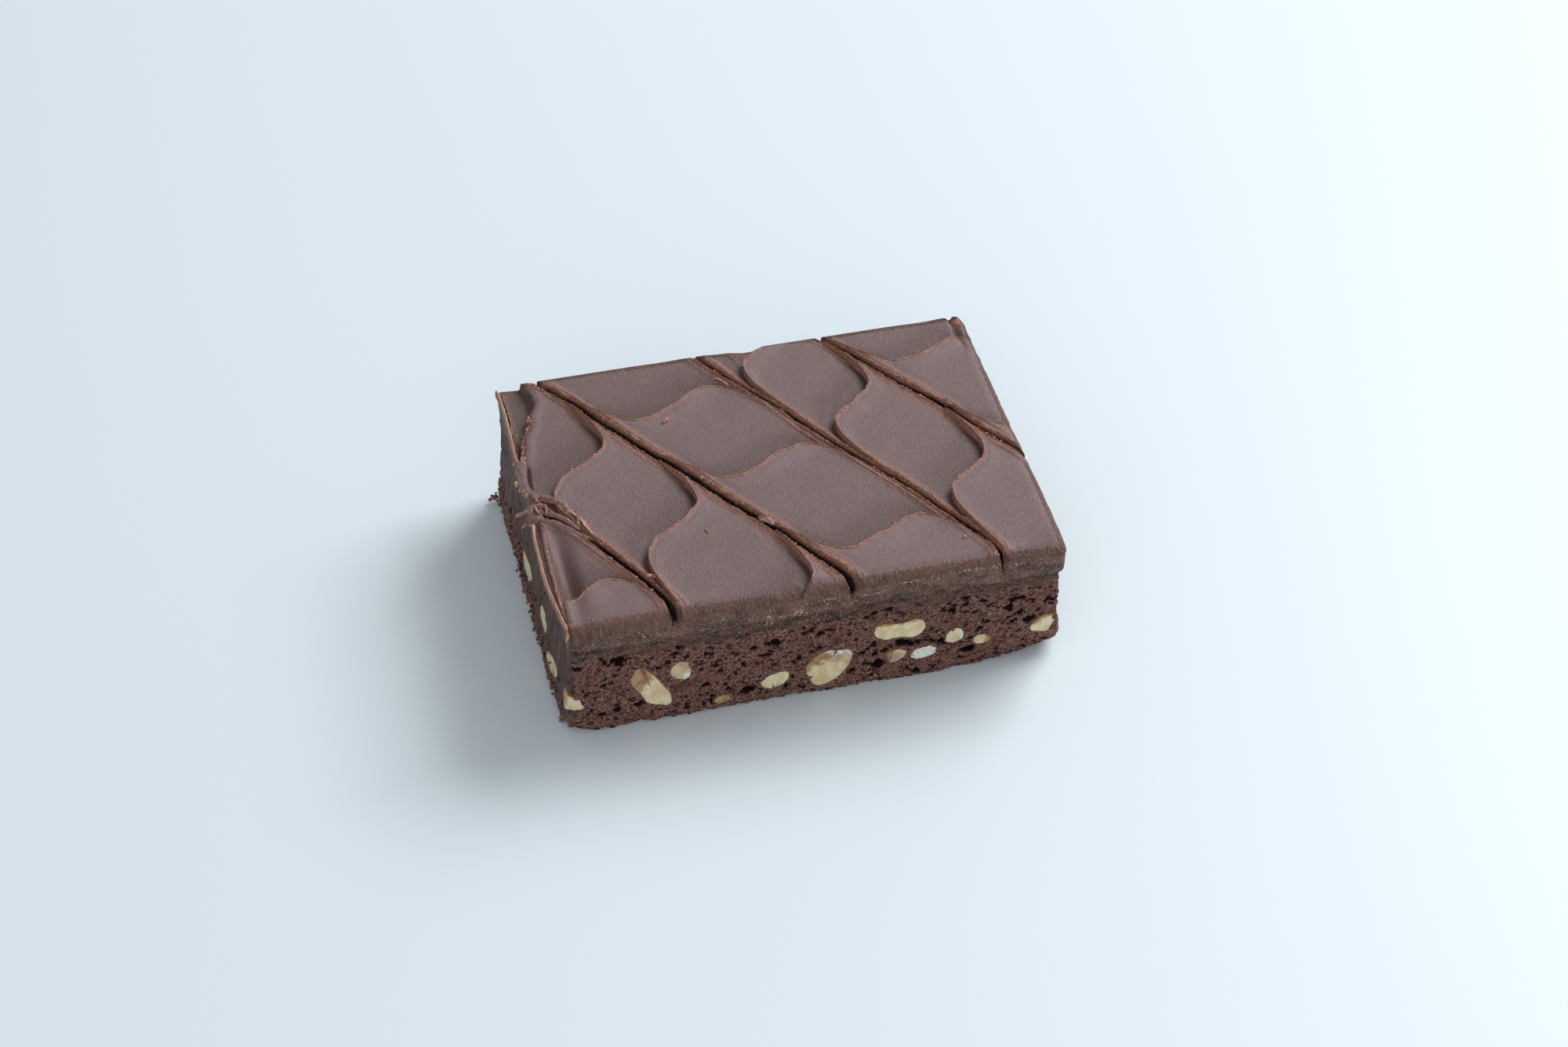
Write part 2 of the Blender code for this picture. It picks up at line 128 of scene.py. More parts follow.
# Strips of torn icing. Each has its course (x, y and height over the face), half its thickness,
# half its height, its lean in degrees, how ragged it is, and how much of it is dry and tan.
TORN_STRIPS = (
    # the wall standing outside the hollow, and the low one inside it
    (((-48.2, 35.2, -1.0), (-47.8, 33.0, -0.85), (-47.7, 27.9, -0.9), (-47.8, 21.8, -0.9),
      (-48.0, 16.6, -0.8), (-48.1, 11.6, -0.4)), 0.30, 1.15, 0, 0.22, 0.65),
    (((-47.1, 34.6, -1.7), (-46.9, 27.7, -1.6), (-47.2, 22.1, -1.5), (-47.5, 15.0, -1.2)),
     0.16, 0.65, 0, 0.25, 0.30),
    # the flap folded over the edge
    (((-47.7, 12.6, 0.0), (-47.7, 10.0, 0.1), (-48.1, 7.4, 0.0), (-48.1, 5.0, -0.1),
      (-47.5, 2.2, -0.3)), 1.05, 0.42, 10, 0.04, 0.05),
    # the lip that hangs over the slit
    (((-46.2, 1.0, 0.1), (-43.9, -0.3, 0.45), (-42.3, -2.4, 0.55), (-41.6, -4.8, 0.55),
      (-40.3, -7.0, 0.40)), 0.70, 0.40, -18, 0.30, 0.85),
    (((-40.5, -4.9, 0.5), (-39.4, -7.2, 0.45), (-38.6, -9.6, 0.3), (-37.8, -12.2, 0.2),
      (-36.6, -15.3, 0.0)), 0.17, 0.95, -52, 0.22, 1.00),
    (((-40.2, -4.4, 0.7), (-39.9, -6.4, 0.9), (-40.2, -8.4, 0.6), (-40.5, -10.3, 0.1)),
     0.36, 0.16, 20, 0.20, 0.55),
    # folds pushed up along the slit's near side, frayed at the tip
    (((-46.9, -6.0, -0.1), (-44.8, -7.0, 0.25), (-42.8, -9.2, 0.35), (-41.0, -11.3, 0.25),
      (-39.0, -13.2, 0.20)), 0.85, 0.50, 14, 0.05, 0.05),
    (((-45.8, -4.2, 0.2), (-43.9, -5.4, 0.50), (-42.1, -7.5, 0.45), (-40.6, -9.9, 0.2)),
     0.62, 0.50, 20, 0.07, 0.12),
    (((-40.2, -12.0, 0.4), (-39.2, -12.9, 0.5), (-38.4, -13.9, 0.45)), 0.12, 0.42, -20, 0.40, 0.95),
    # torn sheets piled at the slit's mouth, two of them drawn out to thin tips
    (((-44.8, -2.2, 0.0), (-46.4, -1.9, 0.60), (-48.2, -1.7, 0.55), (-49.4, -2.3, 0.0)),
     0.62, 0.34, -24, 0.30, 0.55),
    (((-44.9, -3.6, 0.2), (-46.6, -3.4, 0.30), (-48.4, -3.1, 0.25), (-49.7, -3.2, -0.2)),
     0.80, 0.26, 10, 0.32, 0.35),
    (((-46.0, -5.4, 0.0), (-47.6, -5.2, 0.25), (-49.0, -5.0, -0.2), (-49.7, -5.0, -1.0)),
     0.85, 0.30, 24, 0.26, 0.30),
    (((-47.6, -2.5, 0.8), (-49.2, -3.0, 0.60), (-50.4, -3.2, 0.35), (-51.8, -3.5, 0.1)),
     0.34, 0.17, 25, 0.26, 1.00),
    (((-49.0, -5.0, -0.5), (-49.8, -5.1, -0.7), (-50.4, -5.3, -0.9), (-50.9, -5.5, -1.3)),
     0.38, 0.20, -15, 0.30, 1.00),
    (((-45.7, -1.8, 0.6), (-45.5, -3.3, 0.72), (-45.8, -4.9, 0.4)), 0.20, 0.66, 15, 0.24, 0.90),
    (((-46.9, -1.2, 0.65), (-47.3, -2.8, 0.85), (-47.0, -4.2, 0.7)), 0.18, 0.36, -25, 0.24, 0.85),
    # the wall along the front half, the fold inside it, and the corner's own edge
    (((-48.4, -6.0, -0.2), (-49.0, -9.7, -0.4), (-49.1, -12.7, -0.5), (-49.2, -17.0, -0.6),
      (-49.3, -21.8, -0.6), (-49.1, -26.0, -0.5), (-48.7, -30.0, -0.5), (-48.3, -33.4, -0.6),
      (-47.9, -35.7, -0.9)), 0.32, 1.10, -4, 0.24, 0.80),
    (((-47.2, -8.0, -0.3), (-47.5, -12.3, -0.3), (-47.7, -16.4, -0.5), (-47.8, -21.3, -0.6),
      (-47.9, -26.9, -0.5), (-47.7, -31.4, -0.6), (-47.4, -34.4, -0.9)), 0.48, 0.72, 12, 0.06, 0.15),
    (((-47.9, -35.6, -0.7), (-48.0, -35.9, -2.0), (-48.1, -35.9, -3.6), (-48.1, -35.8, -5.2)),
     0.30, 0.34, 0, 0.30, 0.75),
    # a curl on one wave's edge, and the torn bridge over the middle slit
    (((-6.4, 26.9, 0.55), (-5.3, 26.6, 0.85), (-4.2, 25.6, 0.7), (-3.4, 24.3, 0.5)),
     0.18, 0.36, -30, 0.25, 1.00),
    (((-6.9, -14.2, 0.1), (-6.0, -15.4, 0.4), (-5.3, -16.4, 0.35), (-4.4, -17.4, 0.1)),
     0.60, 0.34, 0, 0.40, 0.75),
)
STRIP_STEP, STRIP_SIDES = 0.25, 18  # between a strip's rings, and points in each
FLAP_CRUMBS = ((-48.6, 12.8, 0), (-48.4, 10.4, 0), (-48.9, 7.6, 0), (-49.2, 5.0, 0), (-48.2, 2.4, 0))
LOOSE_CRUMBS = (  # x, y and half the width of each crumb lying on the icing
    (-17.7, 17.1, 0.66), (-18.3, 16.6, 0.44), (-17.3, -15.8, 0.34), (-17.2, -16.5, 0.30),
    (-29.8, -25.4, 0.62), (-30.5, -25.6, 0.42), (29.4, -29.4, 0.34), (30.3, -29.2, 0.26),
    (-14.7, -3.1, 0.32), (-11.9, -8.7, 0.28), (-3.5, -18.8, 0.34), (-38.6, -14.5, 0.30),
)
CORNER_CRUMBS = ((-50.2, 33.4, 1.1, 0.62), (-51.0, 33.2, 0.9, 0.5), (-49.7, 33.0, 1.6, 0.55))
FLECK_CLUSTERS = (  # middle x and z on the front, spread in x and z, and how many
    (-10.0, 21.0, 0.5, 1.6, 60), (-5.0, 21.4, 2.2, 0.3, 70), (-9.0, 17.8, 2.0, 0.5, 30),
    (1.5, 23.8, 1.3, 0.25, 40), (9.3, 23.4, 1.5, 0.3, 40), (18.0, 24.9, 4.0, 0.25, 70),
    (28.5, 25.3, 4.0, 0.25, 70), (-34.0, 23.0, 5.0, 0.8, 50), (38.0, 24.8, 4.0, 0.3, 30),
    (-3.0, 20.5, 8.0, 1.6, 60), (-4.0, 22.6, 1.0, 0.5, 40),
)
SLIT_STARTS, WAVE_STARTS, FOOT_STARTS, LEFT_STARTS = 900, 700, 620, 60  # crumbs tried
ABOVE, IN_FRONT = 40.0, -45.0  # where crumbs start from, before they meet the icing
DOWN, BACKWARD = (0.0, 0.0, -1.0), (0.0, 1.0, 0.0)

# The stage, in metres and degrees.
FLOOR_REACH = 1.6
LIGHT_AIM = (0, 0, 0.01)
CAMERA_PLACE = (-0.1213, -0.4861, 0.4592)
CAMERA_TURNS = (14.21, 41.74, 0.17)  # heading, pitch down and roll
CAMERA_LENS = (78.9, 36.0)  # focal length and sensor width, in millimetres

# ---------------------------------------------------------------- small maths

def smooth(value):
    """0 to 1 with soft ends."""
    value = np.clip(value, 0.0, 1.0)
    return value * value * (3.0 - 2.0 * value)


def bell(distance, width):
    return np.exp(-((distance / width) ** 2))


def hashed(cells, seed):
    """A steady random value from 0 to 1 for each whole-numbered cell."""
    mixed = cells[..., 0] * 73856093 ^ cells[..., 1] * 19349663 ^ cells[..., 2] * 83492791
    mixed = (mixed + seed * 2654435761) & 0xFFFFFFFF
    mixed = ((mixed ^ (mixed >> 15)) * 2246822519) & 0xFFFFFFFF
    mixed = ((mixed ^ (mixed >> 13)) * 3266489917) & 0xFFFFFFFF
    return ((mixed ^ (mixed >> 16)) & 0xFFFFFF) / float(0xFFFFFF)


def as_points(*columns):
    """Columns of numbers, broadcast together, as rows of three."""
    columns = [np.asarray(column, dtype=float) for column in columns]
    while len(columns) < 3:
        columns.append(np.zeros(1))
    return np.stack(np.broadcast_arrays(*columns), axis=-1)


def with_heights(flat, heights=0.0):
    """Points of a plan, given their heights."""
    return as_points(flat[..., 0], flat[..., 1], heights)


def soft_noise(points, seed):
    """Smooth noise from -1 to 1, with one value a unit."""
    base = np.floor(points).astype(np.int64)
    part = smooth(points - base)
    total = np.zeros(points.shape[:-1])
    for corner in itertools.product((0, 1), repeat=3):
        share = np.prod(np.where(np.array(corner) == 1, part, 1.0 - part), axis=-1)
        total += share * hashed(base + np.array(corner), seed)
    return total * 2.0 - 1.0


def layered_noise(points, seed, layers=3):
    """Noise with finer and fainter layers."""
    total, height, span = 0.0, 1.0, 0.0
    for layer in range(layers):
        total = total + height * soft_noise(points * 2.03**layer, seed + layer)
        span += height
        height *= 0.5
    return total / span


def cell_noise(points, seed):
    """How far the nearest scattered spot is, and that spot's own random value."""
    base = np.floor(points).astype(np.int64)
    nearest = np.full(points.shape[:-1], 9.0)
    own = np.zeros(points.shape[:-1])
    for step in itertools.product((-1, 0, 1), repeat=3):
        cell = base + np.array(step)
        spot = cell + np.stack([hashed(cell, seed + axis) for axis in range(3)], axis=-1)
        distance = np.sqrt(((points - spot) ** 2).sum(axis=-1))
        closer = distance < nearest
        nearest = np.where(closer, distance, nearest)
        own = np.where(closer, hashed(cell, seed + 7), own)
    return nearest, own


# ---------------------------------------------------------------- meshes

def new_mesh(name, points, faces):
    """A mesh object from points in millimetres and faces of three or four corners."""
    mesh = bpy.data.meshes.new(name)
    mesh.from_pydata((points * MM).tolist(), [], [list(face) for face in faces])
    mesh.update()
    mesh.shade_smooth()
    made = bpy.data.objects.new(name, mesh)
    bpy.context.scene.collection.objects.link(made)
    return made


def grid_faces(rows, columns, closed=False):
    """Four-cornered faces of a grid of points, in the order row, column."""
    across = columns if closed else columns - 1
    row, column = np.meshgrid(np.arange(rows - 1), np.arange(across), indexing="ij")
    onward = (column + 1) % columns
    corners = (row * columns + column, row * columns + onward)
    above = ((row + 1) * columns + onward, (row + 1) * columns + column)
    return np.stack([*corners, *above], axis=-1).reshape(-1, 4)


def tube_faces(rings, count):
    """Faces of rings stacked upwards, each counterclockwise from above, closed at both ends."""
    faces = grid_faces(rings, count, closed=True).tolist()
    last = (rings - 1) * count
    return [*faces, list(range(count))[::-1], list(range(last, last + count))]


def tube(name, rings):
    """A closed mesh from an array of stacked rings of points."""
    return new_mesh(name, rings.reshape(-1, 3), tube_faces(*rings.shape[:2]))


def add_values(piece, name, values):
    """Stores one number for each point of a piece, for its material to read."""
    attribute = piece.data.attributes.new(name, "FLOAT", "POINT")
    attribute.data.foreach_set("value", np.asarray(values, dtype=np.float32).ravel())


def vertex_rows(mesh, kind):
    """One row of three for each vertex of a mesh: its "co" in metres, or its "normal"."""
    rows = np.empty(len(mesh.vertices) * 3, dtype=np.float32)
    mesh.vertices.foreach_get(kind, rows)
    return rows.reshape(-1, 3).astype(float)


def mesh_points(mesh):
    return vertex_rows(mesh, "co") / MM


def set_points(mesh, points):
    mesh.vertices.foreach_set("co", (points * MM).astype(np.float32).ravel())
    mesh.update()


def settled(piece):
    """Applies a piece's modifiers, so that only its mesh is left."""
    graph = bpy.context.evaluated_depsgraph_get()
    mesh = bpy.data.meshes.new_from_object(piece.evaluated_get(graph))
    piece.modifiers.clear()
    piece.data = mesh
    mesh.shade_smooth()
    return piece


def finish_piece(piece, slot, material, *nodes):
    """Gives a piece its material, and hangs it on the frame."""
    piece.data.materials.clear()
    piece.data.materials.append(material)
    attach(piece, BODY)
    if nodes:
        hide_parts(*nodes)


# ---------------------------------------------------------------- the slab's outline

def outline(shares, radius=CORNER_RADIUS):
    """Points on the cut outline at shares of its way round, and the direction out of each."""
    shares = np.asarray(shares, dtype=float)
    radius = np.broadcast_to(radius, shares.shape)
    arc = CORNER_RADIUS * math.pi / 2
    long_side, short_side = LENGTH - 2 * CORNER_RADIUS, DEPTH - 2 * CORNER_RADIUS
    lengths = np.array([arc, long_side, arc, short_side] * 2)
    ends = np.concatenate([[0.0], np.cumsum(lengths)])
    walked = shares * ends[-1]
    stretch = np.clip(np.searchsorted(ends, walked, side="right") - 1, 0, len(lengths) - 1)
    part = (walked - ends[stretch]) / lengths[stretch]
    corner = stretch // 2
    on_arc = stretch % 2 == 0
    turn = np.radians(90.0 * (corner + np.where(on_arc, part, 1.0)))
    out = np.stack([np.cos(turn), np.sin(turn)], axis=-1)
    onward = np.stack([-out[..., 1], out[..., 0]], axis=-1)
    half_length, half_depth = LENGTH / 2 - radius, DEPTH / 2 - radius
    towards = np.array([(1, 1), (-1, 1), (-1, -1), (1, -1)])[corner]
    centre = np.stack([half_length, half_depth], axis=-1) * towards
    side = np.where(corner % 2 == 0, 2 * half_length, 2 * half_depth)
    run = np.where(on_arc, 0.0, part * side)
    return centre + out * radius[..., None] + onward * run[..., None], out


def side_axis(side):
    """0 for a side that runs along x, and 1 for one that runs along y."""
    return 0 if side in (FRONT, BACK) else 1


def side_weights(out):
    """How much each side of the slab counts for points facing this way."""
    return {side: np.maximum(out @ np.array(SIDE_OUT[side]), 0.0) ** 2 for side in SIDE_OUT}


def outline_shares(spacing):
    """Shares of the way round, as close together as each side asks."""
    fine = (np.arange(OUTLINE_STEPS) + 0.5) / OUTLINE_STEPS
    weights = side_weights(outline(fine)[1])
    step = sum(weight * spacing[side] for side, weight in weights.items())
    walked = np.cumsum(1.0 / step)
    count = int(round(walked[-1] / OUTLINE_STEPS * 2 * (LENGTH + DEPTH)))
    return np.interp(np.arange(count) / count, walked / walked[-1], fine)


def cake_side(shares, heights):
    """The cut side of the cake before its crumb is roughened."""
    radius = np.interp(heights, FOOT_HEIGHTS, FOOT_RADII)
    points, out = outline(shares, radius)
    from_corner = np.hypot(points[..., 0] - LENGTH / 2, points[..., 1] + DEPTH / 2)
    inset = OVERHANG * np.exp(-from_corner / OVERHANG_REACH)
    inset += FOOT_INSET * smooth(1.0 - heights / FOOT_HEIGHTS[1])
    spread = LEFT_FLARE * np.maximum(-out[..., 0], 0.0) + RIGHT_FLARE * np.maximum(out[..., 0], 0.0)
    flare = spread * (1.0 - heights / CAKE_TOP) ** 2
    return points, out, flare - inset


def seam_height(points):
    """Where the icing ends and the cake begins, wandering a little."""
    place = with_heights(points)
    return CAKE_TOP + 0.1 + 0.4 * layered_noise(place / 4.0, 31) + 0.22 * soft_noise(place / 0.8, 32)


# ---------------------------------------------------------------- the comb marks

def swing(x, y, along):
    """How far across the comb marks have wandered here."""
    across = x * ACROSS[0] + y * ACROSS[1]
    near_front = np.exp(-np.maximum(y + DEPTH / 2, 0.0) / SWING_REACH)
    near_back = np.exp(-np.maximum(DEPTH / 2 - y, 0.0) / (3 * SWING_REACH))
    total = 0.45 * soft_noise(as_points(along / 11.0, across / 20.0), 5)
    for place, bend, drift in zip(SLIT_PLACES, SLIT_BENDS, SLIT_DRIFTS):
        total = total + (bend * near_front + drift * near_back) * bell(across - place, SWING_WIDTH)
    return total


def comb_place(x, y):
    """Places along and across the comb marks, with their wandering taken out."""
    along = x * ALONG[0] + y * ALONG[1]
    return along, x * ACROSS[0] + y * ACROSS[1] - swing(x, y, along)


def from_comb(along, across):
    """The point at a place along and across the comb marks."""
    x = along * ALONG[0] + across * ACROSS[0]
    y = along * ALONG[1] + across * ACROSS[1]
    straight_x, straight_y = x, y
    for _ in range(SWING_ROUNDS):
        moved = swing(x, y, along)
        x, y = straight_x + moved * ACROSS[0], straight_y + moved * ACROSS[1]
    return x, y


def nearest_slit(across):
    """Which slit is nearest, and how far across from it a point is."""
    offsets = np.asarray(across)[..., None] - SLIT_PLACES
    which = np.abs(offsets).argmin(axis=-1)
    return which, np.take_along_axis(offsets, which[..., None], axis=-1)[..., 0]


def drag(across):
    """How far the comb has dragged the waves along, by the nearness of each slit."""
    distance = np.maximum(np.abs(np.asarray(across)[..., None] - SLIT_PLACES), SLIT_HALF_WIDTH)
    near = NEAR_DRAG * np.exp(-distance / NEAR_FADE)
    return (SLIT_WAYS * (DRAG * np.exp(-distance / DRAG_FADE) + near)).sum(axis=-1)


def crest_wobble(phase, across):
    """How unevenly each wave's leading edge runs."""
    slow = 0.38 * soft_noise(as_points(across / 2.6, phase / 14.0), 11)
    quick = 0.15 * layered_noise(as_points(across / 0.6, phase / 14.0), 12, 2)
    return slow + quick


def waves_round(phase):
    """The leading edges behind and ahead of a point."""
    ahead = np.clip(np.searchsorted(WAVES, phase, side="right"), 1, len(WAVES) - 1)
    return WAVES[ahead - 1], WAVES[ahead]


def wave_relief(phase, across, bare):
    """The waves' height, and masks for their warm edges, their painted sheen past each edge and the painted
    shade at their low ends.
    """
    behind, ahead = waves_round(phase)
    past = phase - behind
    share = past / (ahead - behind)
    swell = 0.20 * bell(past - 1.5, 1.8) - 0.3 * smooth((share - 0.84) / 0.16)
    rise = (STEP_RISE * (0.5 - share) + swell) * bare
    ragged = 0.5 + 0.5 * layered_noise(as_points(across / 0.9, behind), 21)
    bead = bell(past - 0.24, 0.28) * (0.08 + 0.26 * ragged) * bare
    warm = 1.30 * bell(past - 0.20, 0.44) * bare * (0.5 + 0.5 * ragged)
    # Painted sheen: past each edge the face is coloured paler and bluish, standing in for the sky's
    # reflection on that slope.
    painted_sheen = np.exp(-np.maximum(past, 0.0) / 8.0) * bare
    # Painted shade: each wave's low end, at the foot of the next wave's step, is darkened as if the step
    # shaded it.
    low_end_shade = smooth((share - 0.62) / 0.38) * bare
    return rise + bead, warm, painted_sheen, low_end_shade


def slit_relief(which, offset, along, y):
    """The height of the slits and their lips, and masks for their warm lips and the painted shade inside
    them.
    """
    side = np.sign(offset)
    streaky = soft_noise(as_points(offset / 0.28, along / 14.0, which), 22)
    torn = layered_noise(as_points(offset / 0.45, along / 0.7, which), 23)
    grainy = layered_noise(as_points(offset / 0.6, along / 0.55, which), 24, 2)
    crumbly = layered_noise(as_points(along / 1.3, which, side), 28)
    strong = 0.5 + 0.5 * soft_noise(as_points(along / 7.0, which, side), 29)
    opened = np.exp(-np.maximum(y + DEPTH / 2, 0.0) / MOUTH_REACH)
    width = SLIT_WIDTHS[which] * (1.0 + 0.20 * soft_noise(as_points(along / 4.0, which), 25))
    beside = np.abs(offset) - width * (1.0 + MOUTH_OPENING * opened)
    inner = bell(beside - 0.32, 0.30) * (0.30 + 0.26 * crumbly + 0.16 * strong + 0.26 * grainy)
    outer = bell(beside - 1.15, 0.38) * (0.04 + 0.24 * strong + 0.10 * crumbly)
    band = smooth((2.2 - beside) / 1.3) * smooth((beside + 0.1) / 0.3)
    lips = inner + outer + band * (0.10 + 0.09 * streaky + 0.12 * torn)
    cut = SLIT_WIDTHS[which] > 0
    lips = np.where(cut, lips, 0.35 * outer)
    wall = smooth((0.10 - beside - 0.07 * torn - 0.05 * crumbly) / (0.24 + 0.5 * opened)) * cut
    floor = SLIT_DEPTH * (1.0 + 0.18 * soft_noise(as_points(along / 5.0, which), 26))
    groove = 0.35 * bell(offset + 0.2, 0.8) * ~cut
    warm = 1.15 * bell(beside - 0.28, 0.38) * (0.75 + 0.6 * grainy)
    warm = warm + 0.70 * smooth((2.5 - beside) / 1.7) * (0.75 + 0.6 * streaky)
    return lips * (1.0 - wall) - floor * wall - groove, warm, wall


def comb_relief(phase, across, along, y):
    """The height of the comb marks, and masks for their warm edges, their painted sheen, the painted shade
    at the waves' low ends and the painted shade in the slits.
    """
    which, offset = nearest_slit(across)
    bare = 1.0 - bell(offset, BARE_BESIDE_SLIT)
    waves, waves_warm, painted_sheen, low_end_shade = wave_relief(phase, across, bare)
    slits, slits_warm, wall = slit_relief(which, offset, along, y)
    warm = np.clip(waves_warm + slits_warm, 0.0, 1.0)
    return waves + slits, {"warm_edge": warm, "painted_sheen": painted_sheen, "low_end_shade": low_end_shade, "slit": wall}


def shoulder_drop(inside, half_axes):
    """The drop of a rolled shoulder at a distance inside the edge, straight below the cut."""
    across, down = half_axes
    short = 1.0 - inside / across
    curved = down * (1.0 - np.sqrt(1.0 - np.clip(short, 0.0, SHOULDER_CUT) ** 2))
    slope = down * SHOULDER_CUT / math.sqrt(1.0 - SHOULDER_CUT**2)
    return curved + np.maximum(short - SHOULDER_CUT, 0.0) * slope


def side_distances(x, y):
    return {
        RIGHT: LENGTH / 2 - x,
        BACK: DEPTH / 2 - y,
        LEFT: x + LENGTH / 2,
        FRONT: y + DEPTH / 2,
    }


def hollow_edge(y):
    """How far from the middle the scraped hollow begins, at places along the left side."""
    return np.interp(y, HOLLOW_PLACES, HOLLOW_EDGES) + 0.4 * layered_noise(as_points(y / 1.2), 43)


def left_edge(x, y):
    """What the knife did along the left side: the hollow, a crease beside the flap, a trough."""
    inside = x + LENGTH / 2
    from_hollow = x - hollow_edge(y)
    at_back = smooth((y - HOLLOW_START) / 1.0)
    hollow = HOLLOW_DEPTH * smooth(-from_hollow / 0.45) * at_back
    swell = 0.30 * bell(from_hollow - 1.1, 0.9) * at_back
    crease = 0.9 * bell(x - np.interp(y, FLAP_PLACES, FLAP_CREASE), 0.35)
    crease *= smooth((y - 3.0) / 1.5) * smooth((11.0 - y) / 1.0)
    trough = 2.0 * bell(inside - 2.6, 1.9) * bell(y + 21.0, 11.0)
    return swell - hollow - crease - trough


def right_rim(x, y):
    """The lip that curls up along the right edge near the back, and the groove inside it."""
    inside = LENGTH / 2 - x
    near_back = smooth((y - 22.0) / 7.0)
    wander = 0.25 * soft_noise(as_points(y / 4.0), 42)
    return near_back * (0.55 * bell(inside - 1.3, 0.8) - 0.5 * bell(inside - 2.7 - wander, 0.6))


def face_height(x, y, phase, across, along):
    """The height of the icing's face, with its comb marks, edges and shoulders."""
    relief = comb_relief(phase, across, along, y)[0]
    height = ICING_FACE + relief + left_edge(x, y) + right_rim(x, y)
    for side, distance in side_distances(x, y).items():
        height = height - shoulder_drop(distance, SHOULDERS[side])
    return height + 0.10 * layered_noise(as_points(x / 7.0, y / 7.0), 27)


# ---------------------------------------------------------------- the icing

def spread_out(first, last, step, growth, largest):
    """Places from first to last, each gap a little larger than the one before."""
    places = [first]
    while places[-1] < last:
        places.append(places[-1] + step)
        step = min(step * growth, largest)
    return np.array(places)


def comb_columns():
    """Places across the face, closest together at the slits' walls and lips."""
    wall = np.array([0.0, 0.18, 0.34, 0.44, 0.52, 0.60, 0.70, 0.82])
    beyond = spread_out(0.96, 13.0, 0.14, 1.03, 0.42)
    offsets = np.concatenate([wall, beyond])
    halfway = (SLIT_PLACES[1:] + SLIT_PLACES[:-1]) / 2
    places = joined_places(SLIT_PLACES, np.concatenate([-offsets[:0:-1], offsets]), halfway)
    return places[np.abs(places) < FACE_ACROSS]


def comb_rows():
    """Places along the face, closest together at each wave's leading edge."""
    step = np.array([-0.5, -0.3, -0.18, -0.09, 0.0, 0.09, 0.18, 0.3, 0.42, 0.56, 0.72])
    onward = spread_out(0.92, 26.0, 0.22, 1.045, 0.42)
    places = joined_places(WAVES, np.concatenate([step, onward]), WAVES[1:] - 0.6)
    return places[np.abs(places) < FACE_ALONG]


def joined_places(centres, offsets, borders, apart=0.05):
    """Offsets round each centre, up to the borders between them, with none too close."""
    ends = [-np.inf, *borders, np.inf]
    places = []
    for centre, low, high in zip(centres, ends, ends[1:]):
        mine = centre + offsets
        places.extend(mine[(mine > low) & (mine <= high)])
    places = np.array(sorted(places))
    return places[np.concatenate([[True], np.diff(places) > apart])]


def combed_block():
    """A closed block, wider than the slab, whose top carries the comb marks."""
    columns, rows = comb_columns(), comb_rows()
    phase, across = np.meshgrid(rows, columns, indexing="ij")
    behind, ahead = waves_round(phase)
    near_step = phase - np.where(phase - behind < STEP_BEHIND, behind, ahead)
    overhang = 0.16 * bell(near_step + 0.09, 0.16) - 0.12 * bell(near_step - 0.12, 0.16)
    along = phase + drag(across) + crest_wobble(phase, across) + overhang
    x, y = from_comb(along, across)
    height = face_height(x, y, phase, across, along)
    top = as_points(x.ravel(), y.ravel(), height.ravel())
    faces = grid_faces(len(rows), len(columns))[:, ::-1].tolist()
    index = np.arange(len(top)).reshape(len(rows), len(columns))
    rim = np.concatenate([index[0, :-1], index[:-1, -1], index[-1, :0:-1], index[:0:-1, 0]])
    foot = top[rim].copy()
    foot[:, 2] = CAKE_TOP - FACE_BELOW
    below = len(top) + np.arange(len(rim))
    skirt = np.stack([rim, np.roll(rim, -1), np.roll(below, -1), below], axis=-1)
    faces += [*skirt.tolist(), below.tolist()]
    return new_mesh("combed_block", np.concatenate([top, foot]), faces)


def side_rings(points, out):
    """Rings of the side block from its foot up: each one's points and heights."""
    weights = side_weights(out)
    across = sum(weight * SHOULDERS[side][0] for side, weight in weights.items())
    down = sum(weight * SHOULDERS[side][1] for side, weight in weights.items())
    foot, wall_top = seam_height(points) - 0.25, ICING_FACE - down
    rings = [(points - out * 0.9, foot - 0.15)]
    for share in np.arange(WALL_ROWS) / (WALL_ROWS - 1):
        rings.append((points, foot + (wall_top - foot) * share))
    cut = math.asin(SHOULDER_CUT)
    for row in range(1, CURVE_ROWS + 1):
        turn = cut + (math.pi / 2 - cut) * (1 - row / CURVE_ROWS)
        inset = across * (1.0 - math.sin(turn))
        rings.append((points - out * inset[:, None], ICING_FACE - down * (1.0 - math.cos(turn))))
    slope = down / across * SHOULDER_CUT / math.sqrt(1.0 - SHOULDER_CUT**2)
    inset = (across * (1.0 - math.sin(cut)) + BLOCK_CLIMB / slope) * 0.999
    rings.append((points - out * inset[:, None], ICING_FACE - down * (1.0 - math.cos(cut)) + BLOCK_CLIMB))
    return rings


def side_block():
    """A closed block with the slab's outline, rolled shoulders and knife-drawn sides."""
    shares = outline_shares({RIGHT: 0.42, BACK: 0.42, LEFT: 0.3, FRONT: 0.25})
    points, out = outline(shares)
    flat, heights = (np.stack(rows) for rows in zip(*side_rings(points, out)))
    below = np.clip((ICING_FACE - heights) / 1.5, 0.0, 1.0)
    place = with_heights(flat, heights)
    streaks = layered_noise(place / np.array([0.9, 0.9, 9.0]), 51)
    fine = soft_noise(place / np.array([0.45, 0.45, 2.5]), 53)
    uneven = layered_noise(place / np.array([2.5, 2.5, 1.4]), 52)
    step = smear_edge(flat[..., 0], flat[..., 1]) - heights
    stand = 0.14 * smooth(0.5 - step / 0.35) - 0.07
    moved = below * (0.13 * streaks + 0.10 * uneven + 0.05 * fine + stand)
    flat = flat + out[None] * moved[..., None]
    return tube("side_block", with_heights(flat, heights))


